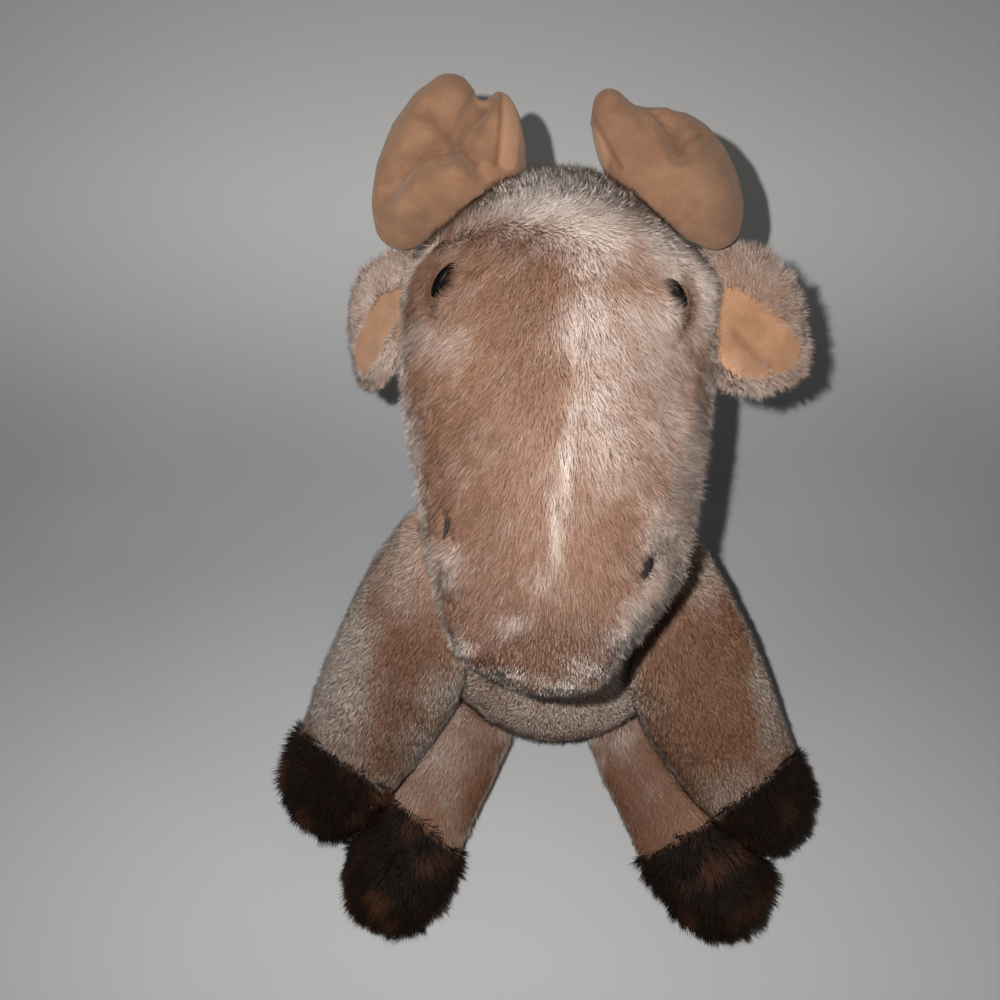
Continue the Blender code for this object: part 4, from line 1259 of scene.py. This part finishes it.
def eyePiece(side):
    facts, dome = eyeFacts[side], domeFacts
    shape = bmesh.new()
    shape.from_mesh(nodes["eye_" + side].data)
    bmesh.ops.remove_doubles(shape, verts=shape.verts, dist=1e-6)
    centre = sum((v.co for v in shape.verts), Vector()) / len(shape.verts)
    normal, along, across = pictureFrame(facts["slit"])[1:]
    for vert in shape.verts:
        away = vert.co - centre
        vert.co -= (across * away.dot(across) * (1 - facts["across"])
                    + along * away.dot(along) * (1 - facts["along"]))
        vert.co -= normal * (away.dot(normal) * dome["flatten"] + dome["sinkMm"] * mm)
    piece = newPiece("eyeDome" + sides[side], meshOf(shape, "eyeDome" + sides[side]))
    makeFiner(piece, dome["finer"])
    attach(piece, "head")
    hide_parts("eye_" + side)
    paint(piece, "eye")


# Nostrils: threads laid side by side across the face
nostrilFacts = {
    "right": {"line": ((446, 511), (455, 539)), "threads": 7, "threadMm": 0.38, "lengthMm": 6.4},
    "left": {"line": ((636, 576), (651, 558)), "threads": 9, "threadMm": 0.42, "lengthMm": 5.4}}
stitchFacts = {"spacing": 0.72, "riseMm": 1.1, "edgeDropMm": 0.3, "staggerMm": 0.3, "slant": 0.05,
               "taper": 0.35}
threadFacts = {"rings": 9, "around": 8, "bluntness": 0.45}


def stitchTree():
    # lays one thread at every point of a mesh, turned and sized by its attributes
    tree, given, out = geometryTree("laidStitches", {
        "Places": "Geometry", "Thickness": "Float", "Thread": "Object", "Finish": "Material"}, "Stitches")

    def node(kind, inputs, **settings):
        return shaderNode(tree, kind, inputs, **settings).outputs

    named = "GeometryNodeInputNamedAttribute"
    heading = node(named, {"Name": "heading"}, data_type="FLOAT_VECTOR")["Attribute"]
    reach = node(named, {"Name": "reach"}, data_type="FLOAT")["Attribute"]
    turn = node("FunctionNodeAlignRotationToVector", {"Vector": heading}, axis="Z")[0]
    size = node("ShaderNodeCombineXYZ", {"X": given["Thickness"], "Y": given["Thickness"], "Z": reach})[0]
    thread = node("GeometryNodeObjectInfo", {"Object": given["Thread"]})["Geometry"]
    laid = node("GeometryNodeInstanceOnPoints", {"Points": given["Places"], "Instance": thread,
                                                 "Rotation": turn, "Scale": size})[0]
    real = node("GeometryNodeRealizeInstances", {"Geometry": laid})[0]
    dressed = node("GeometryNodeSetMaterial", {"Geometry": real, "Material": given["Finish"]})[0]
    tree.links.new(dressed, out)
    return tree


def makeThread():
    # a closed spindle from z = -0.5 to 0.5, fullest in the middle
    shape = bmesh.new()
    rings, around = threadFacts["rings"], threadFacts["around"]
    loops = []
    for i in range(1, rings):
        height = i / rings
        radius = 0.5 * math.sin(math.pi * height) ** threadFacts["bluntness"]
        loops.append([shape.verts.new((radius * math.cos(math.tau * k / around),
                                       radius * math.sin(math.tau * k / around), height - 0.5))
                      for k in range(around)])
    low, high = shape.verts.new((0, 0, -0.5)), shape.verts.new((0, 0, 0.5))
    for a, b in zip(loops, loops[1:]):
        for k in range(around):
            shape.faces.new((a[k], a[(k + 1) % around], b[(k + 1) % around], b[k]))
    for k in range(around):
        shape.faces.new((loops[0][(k + 1) % around], loops[0][k], low))
        shape.faces.new((loops[-1][k], loops[-1][(k + 1) % around], high))
    return newPiece("nostrilThread", meshOf(shape, "nostrilThread"))


laidStitches, thread = stitchTree(), makeThread()


def nostrilPiece(side):
    facts, stitch = nostrilFacts[side], stitchFacts
    place, normal, along, across = pictureFrame(facts["line"])
    spots, headings, lengths = [], [], []
    for k in range(facts["threads"]):
        offset = (k - (facts["threads"] - 1) / 2) * facts["threadMm"] * stitch["spacing"] * mm
        share = abs(k / (facts["threads"] - 1) - 0.5) * 2
        near = faceTree.find_nearest(place + across * offset)
        rise = near[1] * (stitch["riseMm"] - stitch["edgeDropMm"] * share) * mm
        spots.append(near[0] + rise + along * stitch["staggerMm"] * mm * (-1) ** k)
        headings.append(along + across * (stitch["slant"] * (-1) ** k))
        lengths.append(facts["lengthMm"] * (1 - stitch["taper"] * share ** 2) * mm)
    mesh = bpy.data.meshes.new("stitchPlaces")
    mesh.from_pydata([tuple(p) for p in spots], [], [])
    storeVector(mesh, "heading", np.array([tuple(h) for h in headings]))
    storeFloat(mesh, "reach", lengths)
    piece = madeBy(laidStitches, "nostril" + sides[side], mesh, {
        "Thickness": facts["threadMm"] * mm, "Thread": thread, "Finish": finishes["thread"]})
    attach(piece, "head")
    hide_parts("nostril_" + side)


for side in sides:
    eyePiece(side)
    nostrilPiece(side)
    paint(nodes["eye_washer_" + side], "washer")
bpy.data.objects.remove(thread)
print("face: eyes and nostrils set")


# Every skin rides on its body and stands for its cloth and stuffing
dressFacts = {
    # finish, colour slot and how full the skin is
    "headPlush": ("headBacking", "fur_tan", 0.85), "bodyPlush": ("legBacking", "fur_tan", 0.7),
    "tailPlush": ("legBacking", "fur_tan", 0.5), "leg": ("legBacking", "fur_leg", 0.75),
    "hoof": ("hoofBacking", "fur_dark", 0.75), "antler": ("antler", "felt_peach", 0.9),
    "earPlush": ("headBacking", "fur_tan", 0.3), "earLining": ("lining", "felt_peach", 0.3),
}


def dress(name, kind, body, replaced):
    piece = skins[name]
    finish, slotName, fill = dressFacts[kind]
    paint(piece, finish)
    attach(piece, body)
    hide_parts(*replaced)


dress("headPlush", "headPlush", "head", wholeParts["headPlush"])
dress("bodyPlush", "bodyPlush", "torso", wholeParts["bodyPlush"] + ["pellet_bag"])
dress("tailPlush", "tailPlush", "tail_body", wholeParts["tailPlush"])
for side, ending in sides.items():
    for family in ("front", "hind"):
        limb = f"{family}_limb_{side}"
        dress(family + "Leg" + ending, "leg", limb, [f"{family}_leg_{side}", f"{family}_leg_stuffing_{side}"])
        dress(family + "Hoof" + ending, "hoof", limb, [f"{family}_hoof_{side}"])
    dress("antler" + ending, "antler", "head", [f"{part}_{side}" for part in pairedParts["antler"]])
    dress("earPlush" + ending, "earPlush", "ear_" + side, ["ear_back_" + side])
    dress("earLining" + ending, "earLining", "ear_" + side, ["ear_lining_" + side])
print("dressed: every skin rides on its body")
